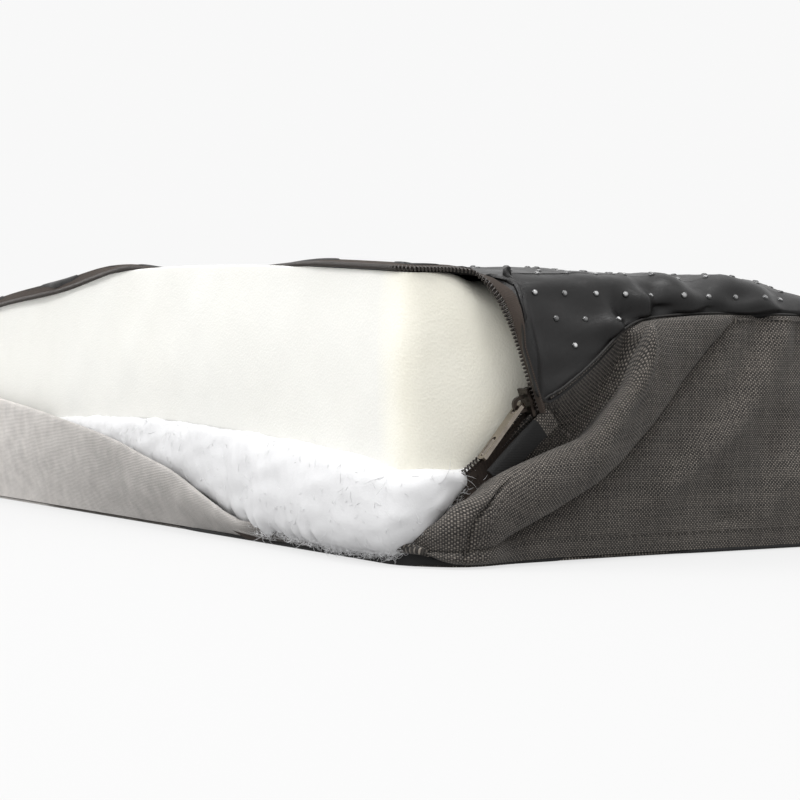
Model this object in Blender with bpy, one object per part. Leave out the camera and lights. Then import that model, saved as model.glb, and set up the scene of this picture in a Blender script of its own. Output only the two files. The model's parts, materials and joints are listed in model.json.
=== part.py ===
"""Kneeling pad lying grip side up, with its boxed canvas cover unzipped round one corner.

Frame: origin at the centre of the canvas face that rests on the ground, +Z up, +X along the
pad's length. The zip runs along the -Y side and a little way round both of its corners.
Lengths below are in millimetres; meshes are scaled to metres when they are made.
"""
import math

import bmesh
import bpy
from mathutils import Vector

MM = 0.001

# Driving dimensions
LENGTH = 450.0
WIDTH = 290.0
CORNER_RADIUS = 20.0
FOAM_THICKNESS = 60.0
CORNER_HEIGHT = 89.0          # top of the foam above the ground at the pad's corners
LENGTH_CROWN = 12.5           # extra height of the foam at the middle of its length
WIDTH_CROWN = 4.0             # extra height of the foam at the middle of its width
CANVAS = 1.2
NYLON = 0.8
TAPE = 0.6
COIL_RADIUS = 1.0
SEAM_HEIGHT = 77.0            # seam between side band and grip base
SEAM_LEAN = 5.0               # the side bands lean in by this much at that seam
ZIP_END = 41.0                # zip's ends, measured along the short sides from the zip side
BAND_FOOT = 2.3               # lower edge of the side bands
GAP = 0.5

# Zip slider: its travel, and the way it faces
PARKED = Vector((LENGTH / 2 + 1.5, -WIDTH / 2 + ZIP_END, 50.7))
TRAVEL_SLOPE = Vector((0.0, -0.316, 0.949))
SLIDER_TURN = math.radians(-10.0)
ACROSS = Vector((math.cos(SLIDER_TURN), math.sin(SLIDER_TURN), 0.0))
TRAVEL = (TRAVEL_SLOPE - ACROSS * TRAVEL_SLOPE.dot(ACROSS)).normalized()
FACE = ACROSS.cross(TRAVEL)
STRAIGHT_RUN = 17.0           # straight stretch of coil that the slider travels on
SLIDER_LENGTH = 9.0
SLIDER_WIDTH = 7.0
WING = 0.9
CHANNEL = 2.8                 # gap between the slider's wings, which the coil runs through
NECK = 1.2
COIL_OFFSET = 2.05            # coil centre from the middle of the slider's neck
SLIDER_MIDDLE = PARKED - ACROSS * COIL_OFFSET
PIVOT_HEIGHT = CHANNEL / 2 + WING + 1.9
PIVOT = SLIDER_MIDDLE + FACE * PIVOT_HEIGHT
PULL_LENGTH = 21.5
PULL_WIDTH = 5.2
PULL_THICKNESS = 1.2
PULL_DROOP = math.radians(34.0)


def smooth(value):
    """Ease from 0 to 1 while the value goes from 0 to 1."""
    value = min(max(value, 0.0), 1.0)
    return value * value * (3.0 - 2.0 * value)


def foam_top(x, y):
    """Height of the crowned foam's upper face."""
    along = 1.0 - abs(2.0 * x / LENGTH) ** 1.6
    across = 1.0 - (2.0 * y / WIDTH) ** 2
    return CORNER_HEIGHT + LENGTH_CROWN * along + WIDTH_CROWN * across


def foam_bottom(x, y):
    return foam_top(x, y) - FOAM_THICKNESS


class Outline:
    """A rounded rectangle, walked anticlockwise from the middle of its +X -Y corner."""

    def __init__(self, low, high, radius):
        self.centre = Vector(((low[0] + high[0]) / 2, (low[1] + high[1]) / 2, 0.0))
        self.radius = radius
        self.reach_x = (high[0] - low[0]) / 2 - radius
        self.reach_y = (high[1] - low[1]) / 2 - radius
        self.arc = math.pi * radius / 2
        self.total = 4 * (self.reach_x + self.reach_y + self.arc)

    def front_length(self):
        """Distance walked back along the -Y side, from corner middle to corner middle."""
        return self.arc + 2 * self.reach_x

    def stations(self, start, end, run_step, extra=()):
        """Distances from start to end, close together round the corners."""
        marks = list(extra)
        corner = -self.total
        runs = (2 * self.reach_y, 2 * self.reach_x) * 6
        for run in runs:
            marks += [corner + self.arc * part for part in (-0.5, -0.25, 0.0, 0.25, 0.5)]
            count = math.ceil(run / run_step)
            marks += [corner + self.arc / 2 + run * i / count for i in range(1, count)]
            corner += self.arc + run
        inside = [mark for mark in marks if start + 1.5 < mark < end - 1.5]
        return [start] + sorted(inside) + [end]

    def loop(self, run_step, extra=()):
        """Stations all the way round, the first not repeated."""
        marks = [mark % self.total for mark in extra]
        return self.stations(-self.arc / 2, self.total - self.arc / 2, run_step, marks)[:-1]

    def at(self, distance, out=0.0):
        """Point and outward direction at a distance round the outline, moved outward."""
        left = (distance + self.arc / 2) % self.total
        corners = ((1, -1, -90), (1, 1, 0), (-1, 1, 90), (-1, -1, 180))
        runs = (2 * self.reach_y, 2 * self.reach_x) * 2
        for (side_x, side_y, start), run in zip(corners, runs):
            middle = self.centre + Vector((side_x * self.reach_x, side_y * self.reach_y, 0.0))
            if left <= self.arc:
                angle = math.radians(start) + left / self.radius
                outward = Vector((math.cos(angle), math.sin(angle), 0.0))
                return middle + outward * (self.radius + out), outward
            left -= self.arc
            if left <= run:
                angle = math.radians(start + 90)
                outward = Vector((math.cos(angle), math.sin(angle), 0.0))
                along = Vector((-outward.y, outward.x, 0.0))
                return middle + outward * (self.radius + out) + along * left, outward
            left -= run
        return self.at(0.0, out)


COVER = Outline((-LENGTH / 2, -WIDTH / 2), (LENGTH / 2, WIDTH / 2), CORNER_RADIUS)
FOAM = Outline((-LENGTH / 2 + 10, -WIDTH / 2), (LENGTH / 2 - 9, WIDTH / 2 - 8), 14.0)

# Landmarks round the cover, as distances from the middle of the open corner
TURN = CORNER_RADIUS - COVER.arc / 2            # square-corner distance minus walked distance
RIGHT_REAR = COVER.arc + 2 * COVER.reach_y
LEFT_REAR = RIGHT_REAR + COVER.arc + 2 * COVER.reach_x
LEFT_FRONT = LEFT_REAR + RIGHT_REAR
SEAM_START = ZIP_END + 3 - TURN
FLAP_NEAR = 116.0 - TURN                        # ends of the stretch of band that swings
FLAP_FAR = 2 * COVER.reach_x - 5.0


def reset_scene():
    for item in list(bpy.data.objects):
        bpy.data.objects.remove(item, do_unlink=True)


def finish(name, shape, colour, roughness, metallic=0.0, parent=None):
    """Make one named object, scaled to metres, with its own material."""
    bmesh.ops.remove_doubles(shape, verts=shape.verts, dist=0.0005)
    bmesh.ops.recalc_face_normals(shape, faces=shape.faces)
    bmesh.ops.scale(shape, vec=Vector((MM, MM, MM)), verts=shape.verts)
    mesh = bpy.data.meshes.new(name)
    shape.to_mesh(mesh)
    shape.free()
    mesh.shade_smooth()
    mesh.set_sharp_from_angle(angle=math.radians(40))
    thing = bpy.data.objects.new(name, mesh)
    bpy.context.scene.collection.objects.link(thing)
    give_material(thing, colour, roughness, metallic)
    if parent is not None:
        mesh.transform(parent.matrix_world.inverted())
        thing.parent = parent
    return thing


def give_material(thing, colour, roughness, metallic):
    material = bpy.data.materials.new(thing.name + "_material")
    material.use_nodes = True
    surface = material.node_tree.nodes["Principled BSDF"]
    surface.inputs["Base Color"].default_value = (*colour, 1.0)
    surface.inputs["Roughness"].default_value = roughness
    surface.inputs["Metallic"].default_value = metallic
    thing.data.materials.append(material)


def joint_empty(name, place):
    """An empty at a joint's axis, which the moving pieces hang from."""
    empty = bpy.data.objects.new(name, None)
    empty.location = place * MM
    bpy.context.scene.collection.objects.link(empty)
    bpy.context.view_layer.update()
    return empty


def rings_solid(name, rings, colour, roughness):
    """A closed solid from rings of points, capped at both ends by a middle point."""
    shape = bmesh.new()
    loops = [[shape.verts.new(point) for point in ring] for ring in rings]
    count = len(loops[0])
    for lower, upper in zip(loops, loops[1:]):
        for i in range(count):
            j = (i + 1) % count
            shape.faces.new((lower[i], lower[j], upper[j], upper[i]))
    for loop in (loops[0], loops[-1]):
        middle = shape.verts.new(sum((v.co for v in loop), Vector()) / count)
        for i in range(count):
            shape.faces.new((loop[i], loop[(i + 1) % count], middle))
    return finish(name, shape, colour, roughness)


def sheet(name, rows, thickness, colour, roughness, closed=False, capped=False, parent=None):
    """A sheet through rows of points, thickened by a Solidify modifier."""
    shape = bmesh.new()
    loops = [[shape.verts.new(point) for point in row] for row in rows]
    count = len(loops[0])
    steps = count if closed else count - 1
    for lower, upper in zip(loops, loops[1:]):
        for i in range(steps):
            j = (i + 1) % count
            shape.faces.new((lower[i], lower[j], upper[j], upper[i]))
    if capped:
        middle = shape.verts.new(sum((v.co for v in loops[-1]), Vector()) / count)
        for i in range(count):
            shape.faces.new((loops[-1][i], loops[-1][(i + 1) % count], middle))
    thing = finish(name, shape, colour, roughness, parent=parent)
    solidify = thing.modifiers.new("thickness", "SOLIDIFY")
    solidify.thickness = thickness * MM
    solidify.offset = 0.0
    return thing


def coil(name, points, parent=None):
    """A nylon coil, as a round bar along its path."""
    line = bpy.data.curves.new(name, "CURVE")
    line.dimensions = "3D"
    line.bevel_depth = COIL_RADIUS * MM
    line.bevel_resolution = 1
    line.use_fill_caps = True
    spline = line.splines.new("POLY")
    spline.points.add(len(points) - 1)
    base = parent.location if parent is not None else Vector()
    for handle, point in zip(spline.points, points):
        handle.co = (*(point * MM - base), 1.0)
    thing = bpy.data.objects.new(name, line)
    bpy.context.scene.collection.objects.link(thing)
    give_material(thing, (0.02, 0.018, 0.016), 0.4, 0.0)
    thing.parent = parent
    return thing


def steps(start, end, count):
    return [start + (end - start) * i / (count - 1) for i in range(count)]


RIGHT_STATIONS = COVER.stations(SEAM_START, RIGHT_REAR - 0.6, 26.0, steps(SEAM_START, SEAM_START + 40, 8))
REAR_STATIONS = COVER.stations(RIGHT_REAR + 0.6, LEFT_REAR - 0.6, 30.0)
LEFT_STATIONS = COVER.stations(LEFT_REAR + 0.6, LEFT_FRONT - SEAM_START, 26.0)

CANVAS_LOOK = ((0.10, 0.09, 0.085), 0.9)
NYLON_LOOK = ((0.035, 0.035, 0.036), 0.45)
TAPE_LOOK = ((0.02, 0.017, 0.015), 0.8)


def foam_core():
    """The foam slab: crowned top and bottom, with rounded edges."""
    stations = FOAM.loop(24.0)
    rounding = 6.0
    levels = ((0.35, None, 0), (0.75, None, 0), (1, -rounding, 0), (1, -1.7, 1.7), (1, 0, rounding),
              (1, 0, -rounding), (1, -1.7, -1.7), (1, -rounding, 0), (0.75, None, -1), (0.35, None, -1))
    rings = []
    for index, (scale, out, rise) in enumerate(levels):
        lower = index < len(levels) // 2
        ring = []
        for station in stations:
            point = FOAM.at(station, -rounding if out is None else out)[0]
            point = FOAM.centre + (point - FOAM.centre) * scale
            height = foam_bottom if lower else foam_top
            lift = rise if out is not None else 0.0
            ring.append(Vector((point.x, point.y, height(point.x, point.y) + lift)))
        rings.append(ring)
    return rings_solid("foam_core", rings, (0.87, 0.84, 0.74), 0.85)


def spill(station):
    """How far the loose batting has spilled out at the open corner, from 0 to 1."""
    walked = station if station < COVER.total / 2 else station - COVER.total
    return smooth((walked + 108.0) / 14.0) * smooth((-14.0 - walked) / 14.0)


def batting_sheet():
    """The loft of polyester batting between the foam and the kneeling face."""
    stations = COVER.loop(20.0, steps(-30.0, -12.0, 7) + steps(-110.0, -90.0, 6))
    rings = []
    for scale, out, part in ((0.4, -16, 0), (0.8, -16, 0), (1, -16, 0), (1, -13, 0.05), (1, 0, 0.12),
                             (1, 1, 0.5), (1, -2, 0.92), (1, -14, 1), (0.8, -16, 1), (0.4, -16, 1)):
        ring = []
        for station in stations:
            spilled = spill(station)
            edge = -7.0 + 14.5 * smooth(2.0 * spilled - 1.0)
            point = COVER.at(station, out if out < -10 else edge + out)[0] * scale
            floor = 2.9 + (8.0 * smooth(2.0 * spilled) if part > 0.04 else 0.0)
            ceiling = foam_bottom(point.x, point.y) - GAP - 0.5
            ring.append(Vector((point.x, point.y, floor + (ceiling - floor) * part)))
        rings.append(ring)
    return rings_solid("batting_sheet", rings, (0.78, 0.79, 0.80), 0.95)


def knee_panel():
    """The canvas kneeling face, flat on the ground."""
    shape = bmesh.new()
    outline = [shape.verts.new(COVER.at(s, -0.8)[0]) for s in COVER.loop(60.0)]
    face = shape.faces.new(outline)
    made = bmesh.ops.extrude_face_region(shape, geom=[face])["geom"]
    moved = [item for item in made if isinstance(item, bmesh.types.BMVert)]
    bmesh.ops.translate(shape, verts=moved, vec=Vector((0, 0, CANVAS)))
    return finish("knee_panel", shape, *CANVAS_LOOK)


def seam_binding():
    """The binding tape that finishes the seam allowance round the kneeling face."""
    stations = COVER.loop(18.0)
    rows = [[COVER.at(s, out)[0] + Vector((0, 0, 2.0)) for s in stations] for out in (-9, -2)]
    return sheet("seam_binding", rows, TAPE, *TAPE_LOOK, closed=True)


def seam_place(station):
    """Seam between band and grip base: outward offset and height at a station."""
    near = station + TURN - ZIP_END if station < LEFT_REAR else 1000.0
    far = LEFT_FRONT - station - COVER.arc / 2 + CORNER_RADIUS - ZIP_END
    pulled = 1.0 - smooth(near / 38.0)
    sag = 1.0 - smooth(far / 35.0)
    middle = math.sin(math.pi * min(max(station / RIGHT_REAR, 0.0), 1.0)) if near < 999 else 0.7
    height = SEAM_HEIGHT + 2.3 * middle - 25.0 * pulled - 5.0 * sag
    return -SEAM_LEAN + 10.0 * pulled + 2.0 * sag, height


def sewn_band(name, stations):
    """A side band that is still sewn to the grip base along its top edge."""
    rows = []
    for part in (0.0, 0.18, 0.4, 0.65, 0.85, 1.0):
        row = []
        for station in stations:
            out, height = seam_place(station)
            top = height - 1.4
            bulge = 2.5 * math.sin(math.pi * part)
            point = COVER.at(station, out * part + bulge)[0]
            row.append(point + Vector((0, 0, BAND_FOOT + (top - BAND_FOOT) * part)))
        rows.append(row)
    return sheet(name, rows, CANVAS, *CANVAS_LOOK)


def near_edge(station):
    """Offset and height of the slack band's free edge round the open corner."""
    side = max(station + TURN, 0.0)
    return 2.0, 6.5 + min(32.0 * (side / ZIP_END) ** 1.6, 32.5)


def flap_edge(station):
    """Offset and height of the front band's free edge, which stands higher away from the corner."""
    walked = -station + TURN
    height = 55.0 * (1.0 - math.exp(-(walked - 97.0) / 150.0))
    return 8.0, max(height, 10.5)


def far_edge(station):
    """Offset and height of the free edge at the zip's far end."""
    climb = smooth((-station - FLAP_FAR - 20.0) / 50.0)
    return 8.0 - 3.0 * climb, flap_edge(-FLAP_FAR)[1] + 12.0 * climb


def slack_band(name, edge, start, end, parent=None):
    """A stretch of band whose top edge is unzipped and has sagged outward."""
    rows = []
    for part in (0.0, 0.3, 0.65, 1.0):
        row = []
        for station in COVER.stations(start, end, 14.0):
            out, height = edge(station)
            point = COVER.at(station, out * math.sin(part * math.pi / 2))[0]
            row.append(point + Vector((0, 0, BAND_FOOT + (height - BAND_FOOT) * part)))
        rows.append(row)
    return sheet(name, rows, CANVAS, *CANVAS_LOOK, parent=parent)


def slack_zip(label, edge, turn_in, start, end, parent=None):
    """The band's half of the zip, on its free edge: tape and coil."""
    rows = ([], [])
    centres = []
    for station in COVER.stations(start, end, 14.0, steps(-18.0, SEAM_START - 10.0, 12)):
        out, height = edge(station)
        point, outward = COVER.at(station, out)
        origin = point + Vector((0, 0, height))
        inward = turn_in(station, outward)
        rows[0].append(origin + inward * 1.7)
        rows[1].append(origin + inward * 4.8)
        centres.append(origin + inward * 7.2)
    sheet("zip_tape_band_" + label, rows, TAPE, *TAPE_LOOK, parent=parent)
    coil("zip_coil_band_" + label, centres, parent=parent)


def near_turn(station, outward):
    """The free edge's tape lies inward along the front and stands up beside the slider."""
    stand = math.radians(90.0) * smooth((station + 14.0) / 14.0)
    return -outward * math.cos(stand) + Vector((0, 0, math.sin(stand)))


def flap_turn(station, outward):
    return (-outward - Vector((0, 0, 0.6))).normalized()


def base_zip_line():
    """Coil centre and tape direction from the zip's near end to its far end."""
    line = []
    for run in (-4.0, 2.0, 7.0, 12.0, STRAIGHT_RUN):
        line.append((PARKED + TRAVEL * run, ACROSS.copy()))
    start = PARKED + TRAVEL * STRAIGHT_RUN
    landing = 20.0
    over = FOAM.at(landing, 0.8)[0]
    end = Vector((over.x, over.y, foam_top(over.x, over.y) + 1.0))
    for part in (0.2, 0.4, 0.6, 0.8):
        rest = 1.0 - part
        bend = start * rest ** 3 + (start + TRAVEL * 12) * 3 * rest ** 2 * part
        bend += (end + Vector((3, 9, 2))) * 3 * rest * part ** 2 + end * part ** 3
        turn = math.pi * smooth(part)
        line.append((bend, Vector((math.cos(turn), math.sin(turn), 0.25 * part)).normalized()))
    past_corner = 10.0
    for station in steps(landing, -FOAM.front_length() - past_corner, 50):
        rim, outward = FOAM.at(station, 0.8)
        top = foam_top(rim.x, rim.y)
        line.append((Vector((rim.x, rim.y, top + 1.0)), (Vector((0, 0, 0.3)) - outward).normalized()))
    for drop in (0.25, 0.5, 0.75, 1.0):
        station = -COVER.front_length() - past_corner - (ZIP_END - TURN - past_corner) * drop
        rim, outward = COVER.at(station, -7.0 + 6.0 * drop)
        turn = math.radians(90.0) * smooth(drop)
        tilt = -outward * math.cos(turn) + Vector((0, 0, 0.3 + math.sin(turn)))
        line.append((Vector((rim.x, rim.y, foam_top(rim.x, rim.y) + 1.0 - 22.0 * smooth(drop))),
                     tilt.normalized()))
    return line


def base_zip(line):
    """The grip base's half of the zip: tape and coil."""
    rows = [[point + side * reach for point, side in line] for reach in (1.5, 5.0)]
    sheet("zip_tape_base", rows, TAPE, *TAPE_LOOK)
    coil("zip_coil_base", [point for point, _ in line])


def over_edge(spot, drop):
    return Vector((spot.x, spot.y, foam_top(spot.x, spot.y) + 3.0 - drop))


def seam_column(station):
    """The grip base's section where it is sewn to a side band."""
    out, height = seam_place(station)
    column = [COVER.at(station, out)[0] + Vector((0, 0, height))]
    column.append(COVER.at(station, out * 0.6 - 2.0)[0] + Vector((0, 0, height + 5.0)))
    for inset, drop in ((2.0, 8.0), (4.5, 1.5), (11.0, 0.0)):
        column.append(over_edge(COVER.at(station, -SEAM_LEAN - inset)[0], drop))
    return column


def open_column(point, side):
    """The grip base's section where its edge carries the open zip."""
    place = point + side * 5.6
    if place.z > CORNER_HEIGHT:
        inner = Vector((min(max(place.x, -204.0), 204.0), min(place.y + 20.0, 0.0), 0.0))
        level = Vector((place.x, place.y, 0.0))
        inward = (inner - level).normalized()
        return [place] + [over_edge(level + inward * inset, 0.0) for inset in (1.0, 2.0, 5.0, 11.0)]
    sign = 1.0 if place.x > 0 else -1.0
    column = [place, Vector((place.x - 0.5 * sign, point.y + 8.0, place.z + 1.0))]
    for inset, drop in ((2.0, 8.0), (4.5, 1.5), (11.0, 0.0)):
        spot = Vector((sign * (LENGTH / 2 - SEAM_LEAN - inset), point.y + 9.0, 0.0))
        column.append(over_edge(spot, drop))
    return column


def base_panel(line):
    """The coated grip base: crowned over the foam, rolling over its edges down to the seam."""
    columns = [open_column(point, side) for point, side in line[1:]]
    for station in reversed(RIGHT_STATIONS + REAR_STATIONS + LEFT_STATIONS):
        columns.append(seam_column(station))
    for column in columns:
        rim = column[-1]
        for scale in (0.85, 0.55, 0.28):
            column.append(over_edge(rim * scale, 0.0))
    rows = [list(row) for row in zip(*columns)]
    return sheet("base_panel", rows, NYLON, *NYLON_LOOK, closed=True, capped=True)


def framed(place, run, across, face):
    """A point given along the slider's travel, across it and out of its face."""
    return place + TRAVEL * run + ACROSS * across + FACE * face


def slider_body(parent):
    """The slider: two wings joined by a neck, which leaves a channel for each coil."""
    wing = SLIDER_WIDTH / 2
    outer = CHANNEL / 2 + WING
    inner = CHANNEL / 2
    half = [(wing, outer), (wing, inner), (NECK / 2, inner), (NECK / 2, -inner), (wing, -inner), (wing, -outer)]
    profile = half + [(-across, face) for across, face in reversed(half)]
    shape = bmesh.new()
    ends = []
    for run, pinch in ((-SLIDER_LENGTH / 2, 0.8), (0.0, 1.0), (SLIDER_LENGTH / 2, 1.0)):
        ends.append([shape.verts.new(framed(SLIDER_MIDDLE, run, across * pinch, face)) for across, face in profile])
    count = len(profile)
    for first, second in zip(ends, ends[1:]):
        for i in range(count):
            j = (i + 1) % count
            shape.faces.new((first[i], first[j], second[j], second[i]))
    shape.faces.new(ends[0])
    shape.faces.new(ends[-1])
    return finish("slider_body", shape, (0.05, 0.045, 0.04), 0.35, 0.8, parent=parent)


def slider_cap(parent):
    """The arch on the slider that the pull hangs from."""
    shape = bmesh.new()
    foot = -1.9 + 0.3
    rims = []
    for radius in (1.5, 2.6):
        rim = [(-radius, foot)]
        rim += [(-radius * math.cos(turn), radius * math.sin(turn)) for turn in steps(0.0, math.pi, 9)]
        rim.append((radius, foot))
        rims.append(rim)
    outline = rims[1] + rims[0][::-1]
    sides = []
    for across in (-0.8, 0.8):
        sides.append([shape.verts.new(framed(PIVOT, run, across, face)) for run, face in outline])
    count = len(outline)
    for i in range(count):
        j = (i + 1) % count
        shape.faces.new((sides[0][i], sides[0][j], sides[1][j], sides[1][i]))
    half = len(rims[0])
    for side in sides:
        for i in range(half - 1):
            shape.faces.new((side[i], side[i + 1], side[count - 2 - i], side[count - 1 - i]))
    return finish("slider_cap", shape, (0.06, 0.05, 0.045), 0.3, 0.8, parent=parent)


def rounded_box(low, high, radius, count=4):
    """Outline of a flat rounded rectangle."""
    points = []
    for right, up, start in ((1, 0, -90), (1, 1, 0), (0, 1, 90), (0, 0, 180)):
        middle = (high[0] - radius if right else low[0] + radius, high[1] - radius if up else low[1] + radius)
        for angle in steps(math.radians(start), math.radians(start + 90), count):
            points.append((middle[0] + radius * math.cos(angle), middle[1] + radius * math.sin(angle)))
    return points


def pull_tab(parent):
    """The flat metal pull: an eye round the slider's arch and an open loop at its free end."""
    down = FACE * math.cos(PULL_DROOP) - TRAVEL * math.sin(PULL_DROOP)
    normal = ACROSS.cross(down)
    half = PULL_WIDTH / 2
    outlines = [rounded_box((-0.7, -half), (PULL_LENGTH, half), 1.2),
                rounded_box((0.75, -1.35), (3.9, 1.35), 0.4),
                rounded_box((13.0, -1.5), (PULL_LENGTH - 1.2, 1.5), 1.2)]
    shape = bmesh.new()
    edges = []
    for outline in outlines:
        loop = [shape.verts.new(PIVOT + down * run + ACROSS * across - normal * (PULL_THICKNESS / 2))
                for run, across in outline]
        edges += [shape.edges.new((loop[i], loop[(i + 1) % len(loop)])) for i in range(len(loop))]
    filled = bmesh.ops.triangle_fill(shape, edges=edges, use_beauty=True)["geom"]
    faces = [item for item in filled if isinstance(item, bmesh.types.BMFace)]
    made = bmesh.ops.extrude_face_region(shape, geom=faces)["geom"]
    moved = [item for item in made if isinstance(item, bmesh.types.BMVert)]
    bmesh.ops.translate(shape, verts=moved, vec=normal * PULL_THICKNESS)
    return finish("pull_tab", shape, (0.45, 0.42, 0.38), 0.22, 1.0, parent=parent)


def block(name, place, run, across, face, colour, roughness, metallic=0.0):
    """A small block with bevelled edges, lined up with the slider."""
    shape = bmesh.new()
    bmesh.ops.create_cube(shape, size=1.0)
    for vert in shape.verts:
        vert.co = framed(place, vert.co.x * run, vert.co.y * across, vert.co.z * face)
    bmesh.ops.bevel(shape, geom=list(shape.edges), offset=0.25, segments=1, affect="EDGES")
    return finish(name, shape, colour, roughness, metallic)


def zip_end_tab():
    """The folded canvas tab sewn over the zip's near end."""
    top = Vector((LENGTH / 2 + 8.5, -WIDTH / 2 + ZIP_END + 8.0, 47.5))
    run = Vector((0.0, -0.74, -0.67))
    width = Vector((-0.2, 0.66, -0.72)).normalized()
    rows = [[top + width * across + run * along for along in steps(0.0, 17.0, 4)] for across in (0.0, 3.0, 6.0)]
    return sheet("zip_end_tab", rows, 1.0, *CANVAS_LOOK)


def main():
    reset_scene()
    foam_core()
    batting_sheet()
    knee_panel()
    seam_binding()
    sewn_band("right_band", RIGHT_STATIONS)
    sewn_band("rear_band", REAR_STATIONS)
    sewn_band("left_band", LEFT_STATIONS)

    hinge = joint_empty("front_band_hinge", Vector((0.0, -WIDTH / 2, BAND_FOOT)))
    far_end = LEFT_FRONT - SEAM_START + 1.2 - COVER.total
    slack_band("corner_band", near_edge, 0.6, SEAM_START - 1.2)
    slack_band("front_band_near", near_edge, -FLAP_NEAR + 0.6, -0.6)
    slack_band("front_band", flap_edge, -FLAP_FAR, -FLAP_NEAR - 0.6, parent=hinge)
    slack_band("front_band_far", far_edge, far_end, -FLAP_FAR - 1.2)
    slack_zip("near", near_edge, near_turn, -FLAP_NEAR + 0.6, SEAM_START - 10.0)
    slack_zip("front", flap_edge, flap_turn, -FLAP_FAR, -FLAP_NEAR - 0.6, parent=hinge)
    slack_zip("far", far_edge, flap_turn, far_end + 2.8, -FLAP_FAR - 1.2)

    line = base_zip_line()
    base_zip(line)
    base_panel(line)

    slider = joint_empty("slider_travel", SLIDER_MIDDLE)
    slider_body(slider)
    slider_cap(slider)
    pull = joint_empty("pull_hinge", PIVOT)
    pull_tab(pull)
    block("zip_bottom_stop", SLIDER_MIDDLE - TRAVEL * 6.2, 2.0, 5.0, 2.0, (0.3, 0.28, 0.25), 0.3, 1.0)
    far_point = line[-1][0]
    block("zip_top_stop", far_point - Vector((0, 1.0, 2.8)), 1.6, 2.6, 2.6, (0.3, 0.28, 0.25), 0.3, 1.0)
    zip_end_tab()


main()
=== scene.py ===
"""Looks for a kneeling pad whose boxed canvas cover is unzipped round one corner.

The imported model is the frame. The soft pieces are built here on its driving dimensions, in
millimetres, and scaled to metres when a mesh is made. Each one is a grid of points, whose rows run
along the pad's outline.

A "station" is a distance walked anticlockwise round the outline from the middle of the open corner.
"Side" is the distance along the right-hand band from that corner; it is negative along the front.
"Out" is measured outward from the cover's nominal outline.
"""

import itertools
import json
import math

import bpy
import numpy as np
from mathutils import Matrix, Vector
from mathutils.bvhtree import BVHTree


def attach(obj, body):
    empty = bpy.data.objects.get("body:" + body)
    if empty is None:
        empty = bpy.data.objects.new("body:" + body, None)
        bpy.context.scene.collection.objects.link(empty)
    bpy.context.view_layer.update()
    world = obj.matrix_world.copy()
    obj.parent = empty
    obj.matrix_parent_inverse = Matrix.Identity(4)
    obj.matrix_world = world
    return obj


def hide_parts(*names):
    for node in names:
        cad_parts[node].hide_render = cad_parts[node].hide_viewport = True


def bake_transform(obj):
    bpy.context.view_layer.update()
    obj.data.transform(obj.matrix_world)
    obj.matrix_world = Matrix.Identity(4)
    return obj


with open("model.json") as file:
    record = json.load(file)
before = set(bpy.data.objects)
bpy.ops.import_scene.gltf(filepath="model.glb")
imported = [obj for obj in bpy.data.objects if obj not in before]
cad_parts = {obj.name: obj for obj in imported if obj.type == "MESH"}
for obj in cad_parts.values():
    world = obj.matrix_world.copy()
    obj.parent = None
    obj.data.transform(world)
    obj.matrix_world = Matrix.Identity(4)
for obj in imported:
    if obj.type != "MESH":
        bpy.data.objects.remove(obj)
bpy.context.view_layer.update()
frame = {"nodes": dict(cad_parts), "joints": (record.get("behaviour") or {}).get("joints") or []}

MM = 0.001
LENGTH = 450.0
WIDTH = 290.0
CORNER_RADIUS = 20.0
FOAM_THICKNESS = 60.0
CORNER_HEIGHT = 89.0
LENGTH_CROWN = 12.5
WIDTH_CROWN = 1.4
SEAM_HEIGHT = 77.0
SEAM_LEAN = 5.0
SEAM_START = 44.0             # the sewn seam begins at this side; before it the band's top is free
SHOULDER_INSET = 2.6          # the grip base's shoulder, inward from its seam's line
ZIP_END = 41.0
FLAP_SPLIT = 225.0            # the front band's two halves meet this far from the open corner
CANVAS_THICKNESS = 1.1
NYLON_THICKNESS = 0.7
TAPE_THICKNESS = 0.5
YARN = 0.62                   # spacing of the canvas yarns
NYLON_YARN = 0.42
FOAM_CELL = 0.8
FIBRES = 11000
COIL_PITCH = 1.25
STITCH_PITCH = 3.4
CLOSE_PITCH = 2.6
STITCH_RADIUS = 0.26
STITCH_SHARE = 0.78           # how much of the pitch a stitch fills
STITCH_HEIGHT = 7.8           # the topstitch above the lower edge of the side bands

# The parked slider and the way it faces
PARKED = np.array((LENGTH / 2 + 1.5, -WIDTH / 2 + ZIP_END, 50.7))
TURN_OUT = math.radians(-10.0)
ACROSS = np.array((math.cos(TURN_OUT), math.sin(TURN_OUT), 0.0))
SLOPE = np.array((0.0, -0.316, 0.949))
TRAVEL = SLOPE - ACROSS * SLOPE.dot(ACROSS)
TRAVEL = TRAVEL / np.linalg.norm(TRAVEL)

rng = np.random.default_rng(12)


def smooth(value):
    """An even ramp from 0 to 1 with soft ends."""
    value = np.clip(value, 0.0, 1.0)
    return value * value * (3.0 - 2.0 * value)


def curve(*keys):
    """A smooth function through (place, value) pairs, level beyond both ends."""
    x, y = np.array(keys, float).T
    rise = np.diff(y) / np.diff(x)
    slope = np.zeros(len(x))
    same = rise[1:] * rise[:-1] > 0
    slope[1:-1][same] = 2 * rise[1:][same] * rise[:-1][same] / (rise[1:] + rise[:-1])[same]

    def value(place):
        place = np.clip(np.asarray(place, float), x[0], x[-1])
        i = np.clip(np.searchsorted(x, place) - 1, 0, len(x) - 2)
        run = x[i + 1] - x[i]
        t = (place - x[i]) / run
        rest = 1.0 - t
        return ((1 + 2 * t) * rest ** 2 * y[i] + t * rest ** 2 * run * slope[i]
                + t * t * (3 - 2 * t) * y[i + 1] - t * t * rest * run * slope[i + 1])

    return value


def unit(vectors):
    """Vectors at length 1."""
    return vectors / np.maximum(np.linalg.norm(vectors, axis=-1, keepdims=True), 1e-9)


# Smooth noise, from a few seeded sine waves in random directions

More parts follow.
